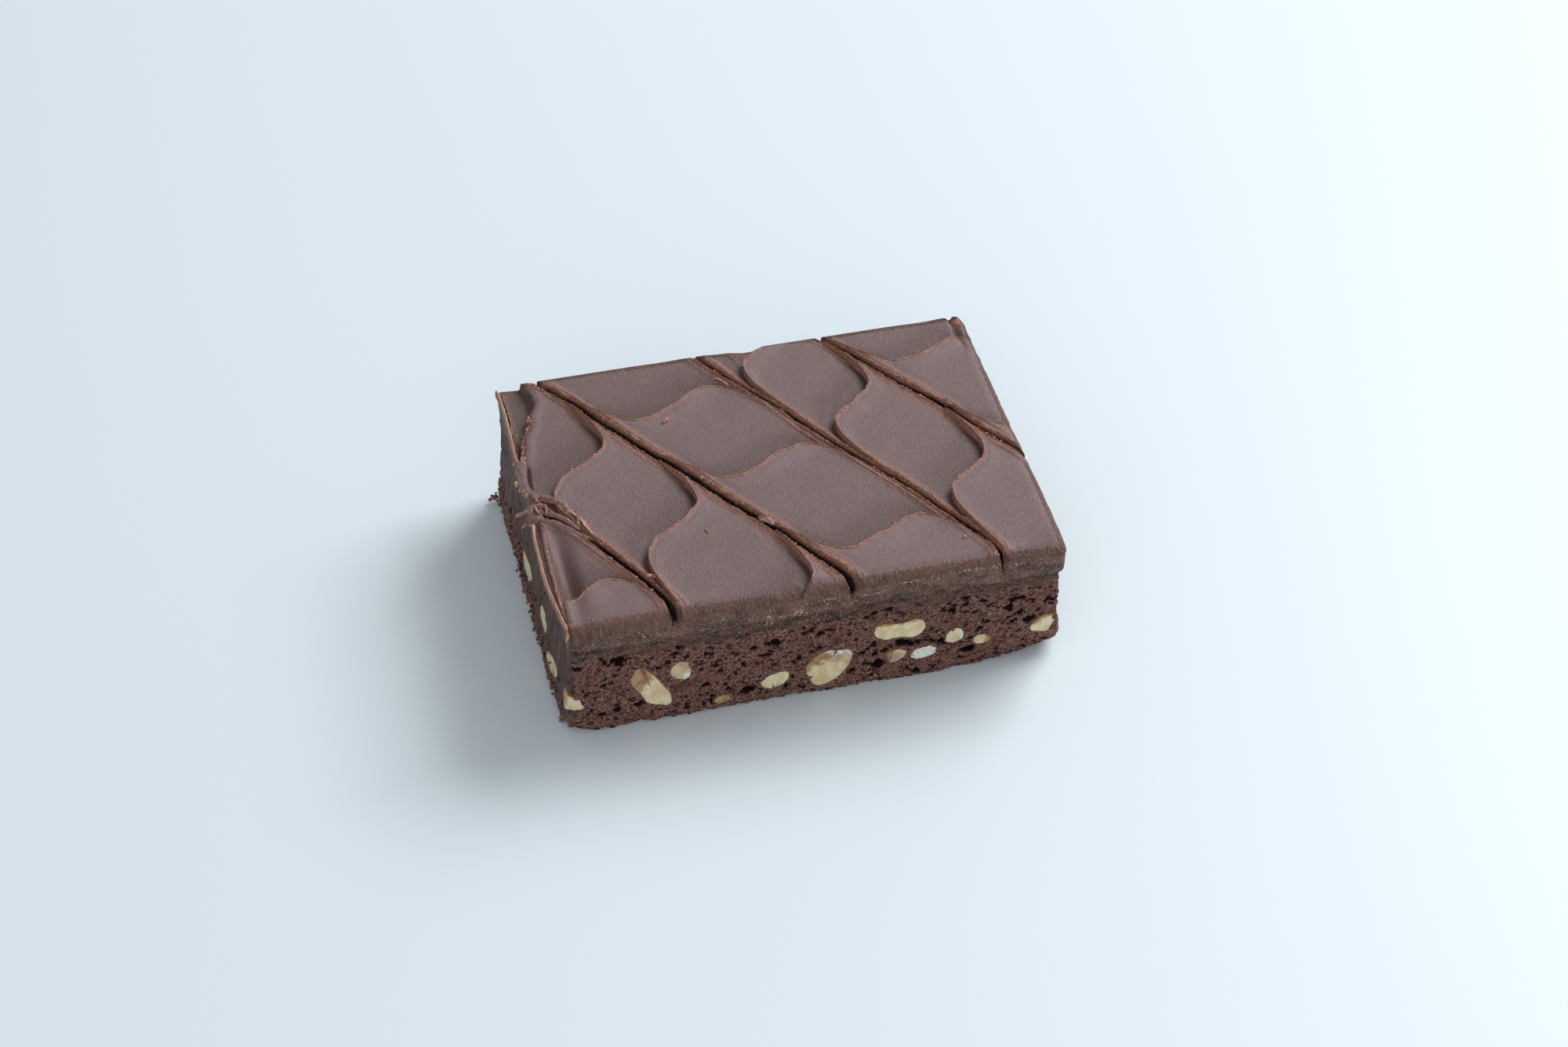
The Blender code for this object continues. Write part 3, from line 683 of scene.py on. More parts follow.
def smear_edge(x, y):
    """The ragged level where the icing dragged down by the knife ends over the dark band."""
    place = as_points(x, y)
    teeth = soft_noise(place / 0.8, 61)
    drawn = 2.5 + 2.2 * smooth((-26.0 - x) / 6.0)
    return ICING_FACE - drawn + 0.7 * layered_noise(place / 6.0, 62) + 0.4 * teeth


def icing_masks(points):
    """What the icing's material needs to know at each point."""
    x, y, z = points.T
    along, across = comb_place(x, y)
    phase = along - drag(across)
    phase = phase - crest_wobble(phase, across)
    masks = comb_relief(phase, across, along, y)[1]
    edge = np.min(np.stack(list(side_distances(x, y).values())), axis=0)
    wall = smooth((1.3 - edge) / 0.5)
    low = smooth((ICING_FACE - 0.5 - z) / 1.2) * smooth((1.8 - edge) / 1.0)
    side = np.maximum(wall, low)
    band = side * smooth((smear_edge(x, y) - z) / 0.8 + 0.5)
    masks = {name: value * (1.0 - side) for name, value in masks.items()}
    masks["side"] = side
    masks["band"] = band
    hollow = smooth((hollow_edge(y) - x + 0.1) / 0.4) * smooth((y - HOLLOW_START) / 0.6)
    masks["scraped"] = hollow * (1.0 - side)
    return masks


def make_icing():
    """The combed block trimmed by the side block, with what its material needs to know."""
    face, block = combed_block(), side_block()
    cut = face.modifiers.new("trim", "BOOLEAN")
    cut.operation = "INTERSECT"
    cut.object = block
    cut.solver = "MANIFOLD"
    icing = settled(face)
    bpy.data.objects.remove(block, do_unlink=True)
    icing.name = "combed_icing"
    for name, values in icing_masks(mesh_points(icing.data)).items():
        add_values(icing, name, values)
    return icing


# ---------------------------------------------------------------- walnuts' places

def cut_loop(node, side):
    """The outline of a walnut's cut on one side of the cake: places along the side, and heights."""
    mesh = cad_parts[node].data
    out = Vector((*SIDE_OUT[side], 0.0))
    borders = {}
    for polygon in mesh.polygons:
        if polygon.normal.dot(out) > 0.7:
            for key in polygon.edge_keys:
                borders[key] = borders.get(key, 0) + 1
    rim = {vertex for key, uses in borders.items() if uses == 1 for vertex in key}
    if len(rim) < 6:
        return None
    along = side_axis(side)
    spots = np.array([[mesh.vertices[v].co[along], mesh.vertices[v].co[2]] for v in rim]) / MM
    middle = spots.mean(axis=0)
    turns = np.arctan2(spots[:, 1] - middle[1], spots[:, 0] - middle[0])
    return spots[np.argsort(turns)]


def inside_loop(loop, along, height):
    """How far inside a loop each place is, and less than 0 outside it."""
    place = np.stack([along, height], axis=-1)
    start, end = loop, np.roll(loop, -1, axis=0)
    nearest = np.full(along.shape, 1e9)
    crossings = np.zeros(along.shape, dtype=int)
    for a, b in zip(start, end):
        edge = b - a
        share = np.clip(((place - a) @ edge) / max(edge @ edge, 1e-12), 0.0, 1.0)
        nearest = np.minimum(nearest, np.linalg.norm(place - a - share[..., None] * edge, axis=-1))
        spans = (a[1] > height) != (b[1] > height)
        if a[1] != b[1]:
            crossing = a[0] + (height - a[1]) * edge[0] / (b[1] - a[1])
            crossings += spans & (along < crossing)
    return np.where(crossings % 2 == 1, nearest, -nearest)


def walnut_nodes():
    return sorted(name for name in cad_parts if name.startswith("walnut"))


def walnut_loops():
    """Every walnut's cut outlines: (node, side, loop)."""
    found = []
    for node in walnut_nodes():
        for side in SIDE_OUT:
            loop = cut_loop(node, side)
            if loop is not None:
                found.append((node, side, loop))
    return found


# ---------------------------------------------------------------- the cake

def pits(points, pitch, share, radius, seed):
    """Open holes in the crumb, wider than they are high: 0 outside, 1 at the bottom."""
    stretched = points / (pitch * np.array([1.6, 1.6, 1.0]))
    distance, own = cell_noise(stretched, seed)
    size = radius * (0.45 + 0.55 * np.minimum(own / share, 1.0))
    ragged = 0.10 * soft_noise(points / (0.25 * pitch), seed + 3)
    return np.where(own < share, smooth((size - distance + ragged) / (0.55 * size)), 0.0)


def crumb_holes(place, dense):
    """How deep the open holes are at each point of the cake's side, in millimetres."""
    worn = 1.0 + 0.5 * soft_noise(place / 9.0, 71)
    deepest = np.maximum.reduce([
        pits(place, 0.95, 0.50, 0.48, 72) * 0.8,
        pits(place, 1.7, 0.50, 0.46, 73) * 1.3,
        pits(place, 3.4, 0.36, 0.38, 74) * 2.0,
    ])
    return deepest * (1.0 - dense) * np.clip(worn, 0.3, 1.4)


def grain_relief(place, dense, drawn, near_nut):
    """How far the crumb's grains stand out, less where it is dense or smeared or by a walnut."""
    grain = cell_noise(place / 0.75, 75)[0]
    crumb = 0.50 * (0.45 - grain) + 0.36 * layered_noise(place / 1.4, 76)
    crumb = (crumb + 0.26 * soft_noise(place / 4.5, 77)) * (1.0 - 0.75 * np.maximum(dense, drawn))
    crumb = crumb + 0.20 * drawn * layered_noise(place / np.array([0.8, 0.8, 7.0]), 83)
    rough = 0.35 * soft_noise(place / 6.0, 78)
    return rough * (1.0 - near_nut) + crumb * (1.0 - 0.6 * near_nut)


def near_walnuts(place, out):
    """How far each point is into a walnut's cut, and how near it is to one, from 0 to 1."""
    heights = place[..., 2]
    nut, near_nut = np.zeros(heights.shape), np.zeros(heights.shape)
    for _, side, loop in walnut_loops():
        facing = out @ np.array(SIDE_OUT[side]) > 0.68
        low, high = loop.min(axis=0) - 1.5, loop.max(axis=0) + 1.5
        along = place[..., side_axis(side)]
        close = facing & (along > low[0]) & (along < high[0]) & (heights > low[1]) & (heights < high[1])
        inside = inside_loop(loop, along[close], heights[close])
        nut[close] = np.maximum(nut[close], smooth((inside + 0.05) / 0.45))
        near_nut[close] = np.maximum(near_nut[close], smooth((inside + 0.9) / 0.8))
    return nut, near_nut


def shrunk(ring, inset):
    """A ring drawn in towards the middle by this much at each side."""
    return ring * np.array([1.0 - inset / (LENGTH / 2), 1.0 - inset / (DEPTH / 2)])


def underside(torn_ring, smooth_ring, lift):
    """Rings across the cake's underside, from the middle out, less and less torn inwards."""
    rings = []
    for inset in UNDERSIDE_INSETS:
        torn = math.exp(-inset / 0.8)
        inner = shrunk(torn * torn_ring + (1.0 - torn) * smooth_ring, inset)
        bumpy = np.abs(soft_noise(with_heights(inner) / (1.0 + inset / 2.0), 80))
        raised = lift * math.exp(-inset / 6.0) + 0.25 * bumpy * smooth(inset / 1.5)
        rings.append(with_heights(inner, raised))
    return rings[::-1]


def make_cake():
    """The cake as one skin: its underside, its crumbled sides, and a lid under the icing."""
    shares = outline_shares({RIGHT: 0.5, BACK: 0.5, LEFT: 0.28, FRONT: 0.235})
    top = seam_height(outline(shares)[0])
    level = (np.arange(CAKE_ROWS) / (CAKE_ROWS - 1))[:, None]
    heights = level * np.broadcast_to(top, (CAKE_ROWS, len(shares)))
    points, out, offset = cake_side(np.broadcast_to(shares, heights.shape), heights)
    place = with_heights(points, heights)
    dense = smooth((heights - (top - 4.2)) / 3.2)
    drawn = smooth((-out[..., 0] - 0.55) / 0.3)
    drawn = drawn * smooth((heights - 4.0 - 3.5 * soft_noise(place / 4.0, 82)) / 2.5)
    nut, near_nut = near_walnuts(place, out)
    holes = crumb_holes(place, dense) * (1.0 - 0.75 * drawn) * (1.0 - near_nut)
    stand = offset + grain_relief(place, dense, drawn, near_nut) - holes - 1.5 * nut
    stand = stand - 0.30 * smooth((heights - top + 0.35) / 0.35)
    foot = smooth(1.0 - heights / 0.9)
    stand += foot * 0.45 * layered_noise(with_heights(points) / 1.3, 79)
    side_points = points + out * stand[..., None]
    lift = smooth(1.0 - heights / LIFT_REACH) * foot_lift(place[..., 0], place[..., 1])
    side = with_heights(side_points, heights + lift)
    under = underside(side_points[0], points[0], lift[0])
    lid = [with_heights(shrunk(side_points[-1], inset), CAKE_TOP + 0.2) for inset in LID_INSETS]
    cake = tube("brownie_crumb", np.concatenate([np.stack(under), side, np.stack(lid)]))
    # hole is the holes' depth, which the material turns into painted shade.
    values = {"hole": np.clip(holes / 0.8, 0.0, 1.0), "band": dense, "drawn": drawn, "near_nut": near_nut}
    for name, value in values.items():
        below, above = np.zeros((len(under), len(shares))), np.zeros((len(lid), len(shares)))
        add_values(cake, name, np.concatenate([below, value, above + (name == "band")]))
    return cake


def foot_lift(x, y):
    """How far the crumbled foot lifts off what it stands on: most at the front right corner."""
    right_corner = 2.4 * smooth((x - 27.0) / 21.0) ** 1.6 * smooth((-y - 24.0) / 12.0)
    uneven = 0.25 * np.maximum(layered_noise(as_points(x, y) / 3.0, 81), 0.0)
    return right_corner + uneven


# ---------------------------------------------------------------- the walnuts

# Marks on the walnuts' cuts: the kind, the direction in degrees that it lies towards, and
# how far that way it begins, as a share of the walnut's own half-size.
WALNUT_MARKS = {
    "walnut_front_1": (("amber", 135, 0.15),),
    # The chalky mark at -30 degrees here is a painted glint: a white spot of light on the cut.
    "walnut_front_2": (("glassy", 90, -2.0), ("chalk_and_glint", -30, 0.55)),
    "walnut_front_3": (("amber", 90, -2.0),),
    "walnut_front_4": (("amber", 200, 0.75),),
    "walnut_front_5": (
        ("glassy", 70, 0.10), ("amber", 125, 0.30), ("chalk_and_glint", 75, 0.72), ("chalk_and_glint", -35, 0.80),
    ),
    "walnut_front_6": (("amber", 90, 0.62),),
    "walnut_front_7": (("glassy", 90, -2.0), ("amber", 170, 0.30)),
    "walnut_front_8": (("chalk_and_glint", 90, -2.0), ("glassy", 200, 0.60)),
    "walnut_front_9": (("chalk_and_glint", 0, 0.45),),
    "walnut_front_10": (("amber", 0, 0.10),),
    "walnut_corner": (("amber", 110, 0.35),),
    "walnut_left_4": (("amber", 0, 0.0),),
}


def walnut_marks(node, points):
    """How amber, glassy or chalky each point of a walnut is: the chalky marks are white flakes and, on one
    walnut, a painted glint.
    """
    middle, half = (points.max(axis=0) + points.min(axis=0)) / 2, np.ptp(points, axis=0) / 2
    along = 0 if node.startswith(("walnut_front", "walnut_back", "walnut_corner")) else 1
    flat = ((points - middle) / half)[:, [along, 2]]
    marks = {kind: np.zeros(len(points)) for kind in ("amber", "glassy", "chalk_and_glint")}
    for kind, degrees, begins in WALNUT_MARKS.get(node, ()):
        reach = flat @ (math.cos(math.radians(degrees)), math.sin(math.radians(degrees)))
        wander = 0.25 * layered_noise(points / 1.2, 131)
        marks[kind] = np.maximum(marks[kind], smooth((reach + wander - begins) / 0.3))
    return marks


def make_walnut(node, loops):
    """A walnut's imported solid, made fine and uneven, with its skin marked."""
    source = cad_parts[node]
    piece = bpy.data.objects.new(node + "_cut", source.data.copy())
    bpy.context.scene.collection.objects.link(piece)
    remesh = piece.modifiers.new("fine", "REMESH")
    remesh.mode = "VOXEL"
    remesh.voxel_size = 0.17 * MM
    rounded = piece.modifiers.new("rounded", "SMOOTH")
    rounded.factor = 0.5
    rounded.iterations = 8
    settled(piece)
    points, normals = mesh_points(piece.data), vertex_rows(piece.data, "normal")
    seed = 100 + walnut_nodes().index(node)
    marks = walnut_marks(node, points)
    relief = 0.16 * layered_noise(points / 1.9, seed) + 0.03 * soft_noise(points / 0.4, seed)
    relief += marks["chalk_and_glint"] * (0.12 + 0.16 * layered_noise(points / 0.6, seed + 1))
    points = points + normals * (relief + 0.02)[:, None]
    set_points(piece.data, points)
    deep = np.ones(len(points))
    for loop_node, side, loop in loops:
        if loop_node != node:
            continue
        along = points[:, side_axis(side)]
        facing = smooth((normals[:, :2] @ np.array(SIDE_OUT[side]) - 0.35) / 0.3)
        inside = np.maximum(inside_loop(loop, along, points[:, 2]), 0.0)
        deep = np.minimum(deep, 1.0 - facing * smooth((inside + 0.10) / 0.35))
    add_values(piece, "skin", deep)
    for kind, share in marks.items():
        add_values(piece, kind, share)
    return piece


# ---------------------------------------------------------------- torn strips and crumbs

def along_course(knots, step=STRIP_STEP):
    """A smooth course through its knots, with a point every step."""
    knots = np.array(knots, dtype=float)
    ends = np.concatenate([[2 * knots[0] - knots[1]], knots, [2 * knots[-1] - knots[-2]]])
    course = []
    for before, start, end, after in zip(ends, ends[1:], ends[2:], ends[3:]):
        share = np.arange(0.0, 1.0, step / max(np.linalg.norm(end - start), step))[:, None]
        bend = 2 * before - 5 * start + 4 * end - after
        twist = 3 * start - before - 3 * end + after
        course.append(0.5 * (2 * start + (end - before) * share + bend * share**2 + twist * share**3))
    return np.concatenate([*course, knots[-1:]])


def torn_strip(strip, number):
    """The points, faces, and dry share of one closed strip with a ragged upper edge."""
    knots, thick, high, lean, ragged, dry = strip
    course = along_course(knots)
    course[:, 2] += ICING_FACE
    onward = np.gradient(course, axis=0)
    onward /= np.linalg.norm(onward, axis=1)[:, None]
    sideways = np.cross(onward, (0.0, 0.0, 1.0))
    sideways /= np.maximum(np.linalg.norm(sideways, axis=1), 0.05)[:, None]
    upward = np.cross(sideways, onward)
    lean = math.radians(lean)
    sideways, upward = (
        math.cos(lean) * sideways + math.sin(lean) * upward,
        math.cos(lean) * upward - math.sin(lean) * sideways,
    )
    run = np.arange(len(course))
    ends = np.minimum(run, run[::-1]) / 3.5
    taper = 0.12 + 0.88 * smooth(ends)[:, None]
    turn = np.linspace(0.0, 2 * math.pi, STRIP_SIDES, endpoint=False)
    place = as_points(run[:, None] * STRIP_STEP, np.cos(turn) * 1.4, np.sin(turn) * 1.4)
    lumpy = 1.0 + (0.12 + 0.6 * ragged) * layered_noise(place, 200 + number)
    lumpy += 0.22 * soft_noise(place * np.array([0.12, 1.5, 1.5]), 220 + number)
    torn_up = 2.6 * ragged * layered_noise(place[:, :1] / 1.3, 240 + number, 4)
    torn_out = 2.6 * ragged * layered_noise(place / 0.8, 260 + number)
    wide = thick > high
    rise = 0.0 if wide else np.maximum(np.sin(turn), 0.0) * torn_up
    reach = np.abs(np.cos(turn)) * torn_out if wide else 0.0
    radius_up = high * np.sin(turn) * (1.0 + rise) * taper * lumpy
    radius_side = thick * np.cos(turn) * (1.0 + reach) * taper * lumpy
    points = course[:, None] + sideways[:, None] * radius_side[..., None]
    points = points + upward[:, None] * radius_up[..., None]
    rows, columns = radius_up.shape
    faces = [face[::-1] for face in tube_faces(rows, columns)]
    edge = smooth((np.abs(np.cos(turn)) - 0.75) / 0.25 if wide else (np.sin(turn) - 0.25) / 0.6)
    tan = np.clip(dry * (0.30 + 0.95 * edge) + 0.12 * edge, 0.0, 1.0)
    return points.reshape(-1, 3), faces, np.broadcast_to(tan, (rows, columns)).ravel()


def merged(shapes):
    """The points and faces of several shapes as one, from the points and faces of each."""
    points, faces, start = [], [], 0
    for own_points, own_faces in shapes:
        points.append(own_points)
        faces.extend([[corner + start for corner in face] for face in own_faces])
        start += len(own_points)
    return np.concatenate(points), faces


def ball():
    """A round ball's points and faces."""
    shape = bmesh.new()
    bmesh.ops.create_icosphere(shape, subdivisions=2, radius=1.0)
    points = np.array([vertex.co for vertex in shape.verts])
    faces = np.array([[vertex.index for vertex in face.verts] for face in shape.faces])
    shape.free()
    return points, faces


def lumps(name, places, sizes, seed):
    """Crumbs of uneven shape as one piece, each turned its own way, with a tone of its own."""
    base, base_faces = ball()
    count = len(places)
    draws = np.random.default_rng(seed)
    turns = draws.normal(size=(count, 4))
    turns /= np.linalg.norm(turns, axis=1)[:, None]
    stretch = draws.uniform(0.6, 1.35, (count, 3))
    tone = draws.uniform(0.0, 1.0, count)
    own = np.arange(count)[:, None, None] * 13.7
    rough = 1.0 + 0.75 * layered_noise(base[None] * 1.7 + own, seed)
    points = base[None] * rough[..., None] * stretch[:, None]
    w, x, y, z = turns.T
    matrix = np.array([
        [1 - 2 * (y * y + z * z), 2 * (x * y - z * w), 2 * (x * z + y * w)],
        [2 * (x * y + z * w), 1 - 2 * (x * x + z * z), 2 * (y * z - x * w)],
        [2 * (x * z - y * w), 2 * (y * z + x * w), 1 - 2 * (x * x + y * y)],
    ]).transpose(2, 0, 1)
    points = np.einsum("nij,nvj->nvi", matrix, points)
    points = np.asarray(places)[:, None] + points * np.asarray(sizes)[:, None, None]
    faces = (base_faces[None] + (np.arange(count) * len(base))[:, None, None]).reshape(-1, 3)
    piece = new_mesh(name, points.reshape(-1, 3), faces.tolist())
    add_values(piece, "tone", np.repeat(0.45 + 0.55 * tone, len(base)))
    return piece


def surface_of(*names):
    """The joined surface of finished pieces, in millimetres, for finding where things rest."""
    meshes = [bpy.data.objects[name].data for name in names]
    shapes = [(mesh_points(mesh), [face.vertices for face in mesh.polygons]) for mesh in meshes]
    points, faces = merged(shapes)
    return BVHTree.FromPolygons(points.tolist(), faces)


def resting(surface, starts, way, sink=0.0):
    """Where each start, moved this way, meets the surface: only those that do."""
    way = Vector(way)
    found = []
    for start in np.asarray(starts, dtype=float):
        place = surface.ray_cast(Vector(start), way)[0]
        if place is not None:
            found.append(np.array(place + way * sink))
    return np.array(found)


def over_face(x, y, margin):
    """Starts above the places that are at least a margin inside the icing's edges."""
    inside = (np.abs(x) < LENGTH / 2 - margin) & (np.abs(y) < DEPTH / 2 - margin)
    return as_points(x[inside], y[inside], ABOVE)


def slit_crumbs(draws):
    """Starts over the slits' lips for fine crumbs, closer together beside the torn parts."""
    starts = []
    for number in (1, 2, 3, 4):
        along = draws.uniform(-75.0, 75.0, SLIT_STARTS)
        thick = 0.5 + 0.5 * soft_noise(as_points(along / 5.0, number), 91)
        along = along[draws.uniform(0.0, 1.0, len(along)) < 0.25 + 0.75 * thick]
        beside = SLIT_WIDTHS[number] + draws.uniform(0.10, 0.55, len(along)) ** 1.3
        side = np.where(draws.uniform(0.0, 1.0, len(along)) < 0.5, -1.0, 1.0)
        x, y = from_comb(along, SLIT_PLACES[number] + side * beside)
        starts.append(over_face(x, y, 0.8))
    return np.concatenate(starts)


def wave_crumbs(draws):
    """Starts over the waves' leading edges for fine crumbs."""
    across = draws.uniform(-60.0, 60.0, WAVE_STARTS)
    wave = draws.choice(WAVES[1:-1], len(across))
    along = wave + drag(across) + crest_wobble(wave, across)
    x, y = from_comb(along + draws.uniform(-0.05, 0.35, len(across)), across)
    return over_face(x, y, 1.0)


def make_torn_icing():
    """Every torn strip as one piece, with how dry it is at each point."""
    strips = [torn_strip(strip, number) for number, strip in enumerate(TORN_STRIPS)]
    piece = new_mesh("torn_icing", *merged([strip[:2] for strip in strips]))
    add_values(piece, "dry", np.concatenate([strip[2] for strip in strips]))
    return piece


def make_icing_crumbs():
    """Crumbs of dried icing: along the slits and waves, on the torn edge, and lying loose."""
    surface = surface_of("combed_icing", "torn_icing")
    draws = np.random.default_rng(11)
    fine = resting(surface, np.concatenate([slit_crumbs(draws), wave_crumbs(draws)]), DOWN, 0.03)
    fine_sizes = 0.08 + 0.15 * draws.uniform(0.0, 1.0, len(fine)) ** 2.5
    y = np.arange(11.4, 25.0, 0.42)
    rim = as_points(hollow_edge(y) + draws.uniform(-0.45, 0.1, len(y)), y, ABOVE)
    flap = along_course(FLAP_CRUMBS, 0.5)
    flap[:, 2] = ICING_FACE - 0.15 + draws.uniform(-0.25, 0.25, len(flap))
    flap[:, :2] += draws.uniform(-0.25, 0.25, (len(flap), 2))
    rim = resting(surface, rim, DOWN, 0.15)
    rim[:, 2] = np.maximum(rim[:, 2], ICING_FACE - 0.6)
    loose = resting(surface, [(x, y, ABOVE) for x, y, size in LOOSE_CRUMBS], DOWN, -0.05)
    places = np.concatenate([fine, rim, flap, loose])
    sizes = np.concatenate([
        fine_sizes,
        draws.uniform(0.24, 0.48, len(rim)),
        draws.uniform(0.22, 0.42, len(flap)),
        [size for x, y, size in LOOSE_CRUMBS],
    ])
    return lumps("icing_crumbs", places, sizes, 301)


def make_cake_crumbs():
    """Crumbs that cling to the cake's foot and stand out from its torn left side."""
    draws = np.random.default_rng(12)
    shares = draws.uniform(0.0, 1.0, FOOT_STARTS)
    heights = 0.15 + 1.5 * draws.uniform(0.0, 1.0, len(shares)) ** 2
    points, out, offset = cake_side(shares, heights)
    thick = soft_noise(with_heights(points) / 5.0, 92)
    keep = draws.uniform(-1.0, 1.0, len(shares)) < 0.1 + 1.2 * thick
    stand = offset + draws.uniform(-0.25, 0.25, len(shares))
    lift = foot_lift(points[:, 0], points[:, 1])
    foot = np.concatenate([points + out * stand[:, None], (heights + lift)[:, None]], axis=1)[keep]
    sizes = draws.uniform(0.14, 0.42, len(foot))
    y = draws.uniform(-34.0, 34.0, LEFT_STARTS)
    z = 0.5 + 5.0 * draws.uniform(0.0, 1.0, len(y)) ** 1.5
    flare = LEFT_FLARE * (1.0 - z / CAKE_TOP) ** 2
    x = -LENGTH / 2 - flare + FOOT_INSET * smooth(1.0 - z / FOOT_HEIGHTS[1])
    torn = np.stack([x - draws.uniform(0.0, 0.5, len(y)), y, z], axis=1)
    corner = np.array(CORNER_CRUMBS)
    places = np.concatenate([foot, torn, corner[:, :3]])
    sizes = np.concatenate([sizes, draws.uniform(0.2, 0.45, len(torn)), corner[:, 3]])
    places[:, 2] = np.maximum(places[:, 2], 1.45 * sizes)
    return lumps("cake_crumbs", places, sizes, 302)


def make_flecks():
    """Dry pale flecks in clusters and strings where the knife drew the icing down the front."""
    draws = np.random.default_rng(13)
    starts = []
    for x, z, wide, high, count in FLECK_CLUSTERS:
        spots = draws.normal(size=(count, 2)) * (wide, high) + (x, z)
        starts.append(as_points(spots[:, 0], IN_FRONT, spots[:, 1]))
    surface = surface_of("combed_icing", "brownie_crumb")
    places = resting(surface, np.concatenate(starts), BACKWARD, 0.02)
    sizes = 0.04 + 0.13 * draws.uniform(0.0, 1.0, len(places)) ** 3
    return lumps("dry_flecks", places, sizes, 303)


# ---------------------------------------------------------------- materials

class Nodes:
    """Lays out one material's nodes from left to right."""

    def __init__(self, name):
        self.material = bpy.data.materials.new(name)
        self.material.use_nodes = True
        self.tree = self.material.node_tree
        self.shader = self.tree.nodes["Principled BSDF"]
        self.count = 0

    def add(self, kind, **inputs):
        node = self.tree.nodes.new(kind)
        node.location = (-1600 + 180 * (self.count % 8), 600 - 220 * (self.count // 8))
        self.count += 1
        for name, value in inputs.items():
            self.feed(node.inputs[name.replace("_", " ")], value)
        return node

    def feed(self, socket, value):
        if isinstance(value, bpy.types.NodeSocket):
            self.tree.links.new(value, socket)
        elif hasattr(socket.default_value, "__len__") and len(socket.default_value) == 4:
            socket.default_value = (*value[:3], 1.0)
        else:
            socket.default_value = value

    def place(self, stretch=EVEN):
        """The point's own place on the object, in metres, stretched, then turned off the axes."""
        coordinates = self.add("ShaderNodeTexCoord")
        mapping = self.add("ShaderNodeMapping", Vector=coordinates.outputs["Object"])
        mapping.inputs["Scale"].default_value = stretch
        mapping.inputs["Rotation"].default_value = NOISE_TURN
        return mapping.outputs["Vector"]

    def noise(self, size, detail=2.0, stretch=EVEN, roughness=0.5):
        """Noise with patches of about this size in metres."""
        node = self.add("ShaderNodeTexNoise")
        self.feed(node.inputs["Vector"], self.place(stretch))
        node.inputs["Scale"].default_value = 1.0 / size
        node.inputs["Detail"].default_value = detail
        node.inputs["Roughness"].default_value = roughness
        return node.outputs["Fac"]

    def cells(self, size, stretch=EVEN):
        node = self.add("ShaderNodeTexVoronoi")
        self.feed(node.inputs["Vector"], self.place(stretch))
        node.inputs["Scale"].default_value = 1.0 / size
        return node.outputs["Distance"]

    def value(self, name):
        """A number stored on the mesh."""
        node = self.add("ShaderNodeAttribute")
        node.attribute_name = name
        return node.outputs["Fac"]

    def spread(self, value, low, high, new_low=0.0, new_high=1.0):
        """Maps low..high to new_low..new_high, with soft ends."""
        node = self.add("ShaderNodeMapRange")
        node.interpolation_type = "SMOOTHSTEP"
        for socket, number in zip(node.inputs, (value, low, high, new_low, new_high)):
            self.feed(socket, number)
        return node.outputs[0]

    def spots(self, low, high, size, detail=2.0, stretch=EVEN, roughness=0.5):
        """Noise of this size with its range from low to high spread from 0 to 1."""
        return self.spread(self.noise(size, detail, stretch, roughness), low, high)

    def maths(self, operation, first, second):
        node = self.add("ShaderNodeMath")
        node.operation = operation
        self.feed(node.inputs[0], first)
        self.feed(node.inputs[1], second)
        return node.outputs[0]

    def times(self, first, second):
        return self.maths("MULTIPLY", first, second)

    def wandering(self, name, size, low, high, detail=2.0):
        """A number stored on the mesh, with noise added so that its edges wander."""
        stored = self.value(name)
        return self.maths("ADD", stored, self.spread(self.noise(size, detail), 0.3, 0.7, low, high))

    def mix(self, share, first, second):
        """Colours mixed by a share."""
        node = self.add("ShaderNodeMix")
        node.data_type = "RGBA"
        self.feed(node.inputs[0], share)
        self.feed(node.inputs[6], first)
        self.feed(node.inputs[7], second)
        return node.outputs[2]

    def bump(self, height, distance, under=None):
        node = self.add("ShaderNodeBump")
        self.feed(node.inputs["Height"], height)
        node.inputs["Strength"].default_value = 1.0
        node.inputs["Distance"].default_value = distance
        if under is not None:
            self.feed(node.inputs["Normal"], under)
        return node.outputs["Normal"]

    def finish(self, colour, roughness, normal, **fixed):
        self.feed(self.shader.inputs["Base Color"], colour)
        self.feed(self.shader.inputs["Roughness"], roughness)
        self.feed(self.shader.inputs["Normal"], normal)
        for name, value in fixed.items():
            self.shader.inputs[name.replace("_", " ")].default_value = value
        return self.material


def dense_look(made, settings):
    """The dense crumb pressed dark under the icing: its colour and the height of its grain."""
    patches = made.spots(0.36, 0.64, 0.0026, 3.0, (0.7, 0.7, 1.5))
    colour = made.mix(patches, settings.band_dark, settings.band_colour)
    specks = made.spots(0.50, 0.64, 0.0004, 3.0, (0.8, 0.8, 1.2), 0.6)
    colour = made.mix(made.times(specks, 0.75), colour, settings.band_light)
    return colour, made.noise(0.0004, 3.0, (0.9, 0.9, 1.2), 0.62)


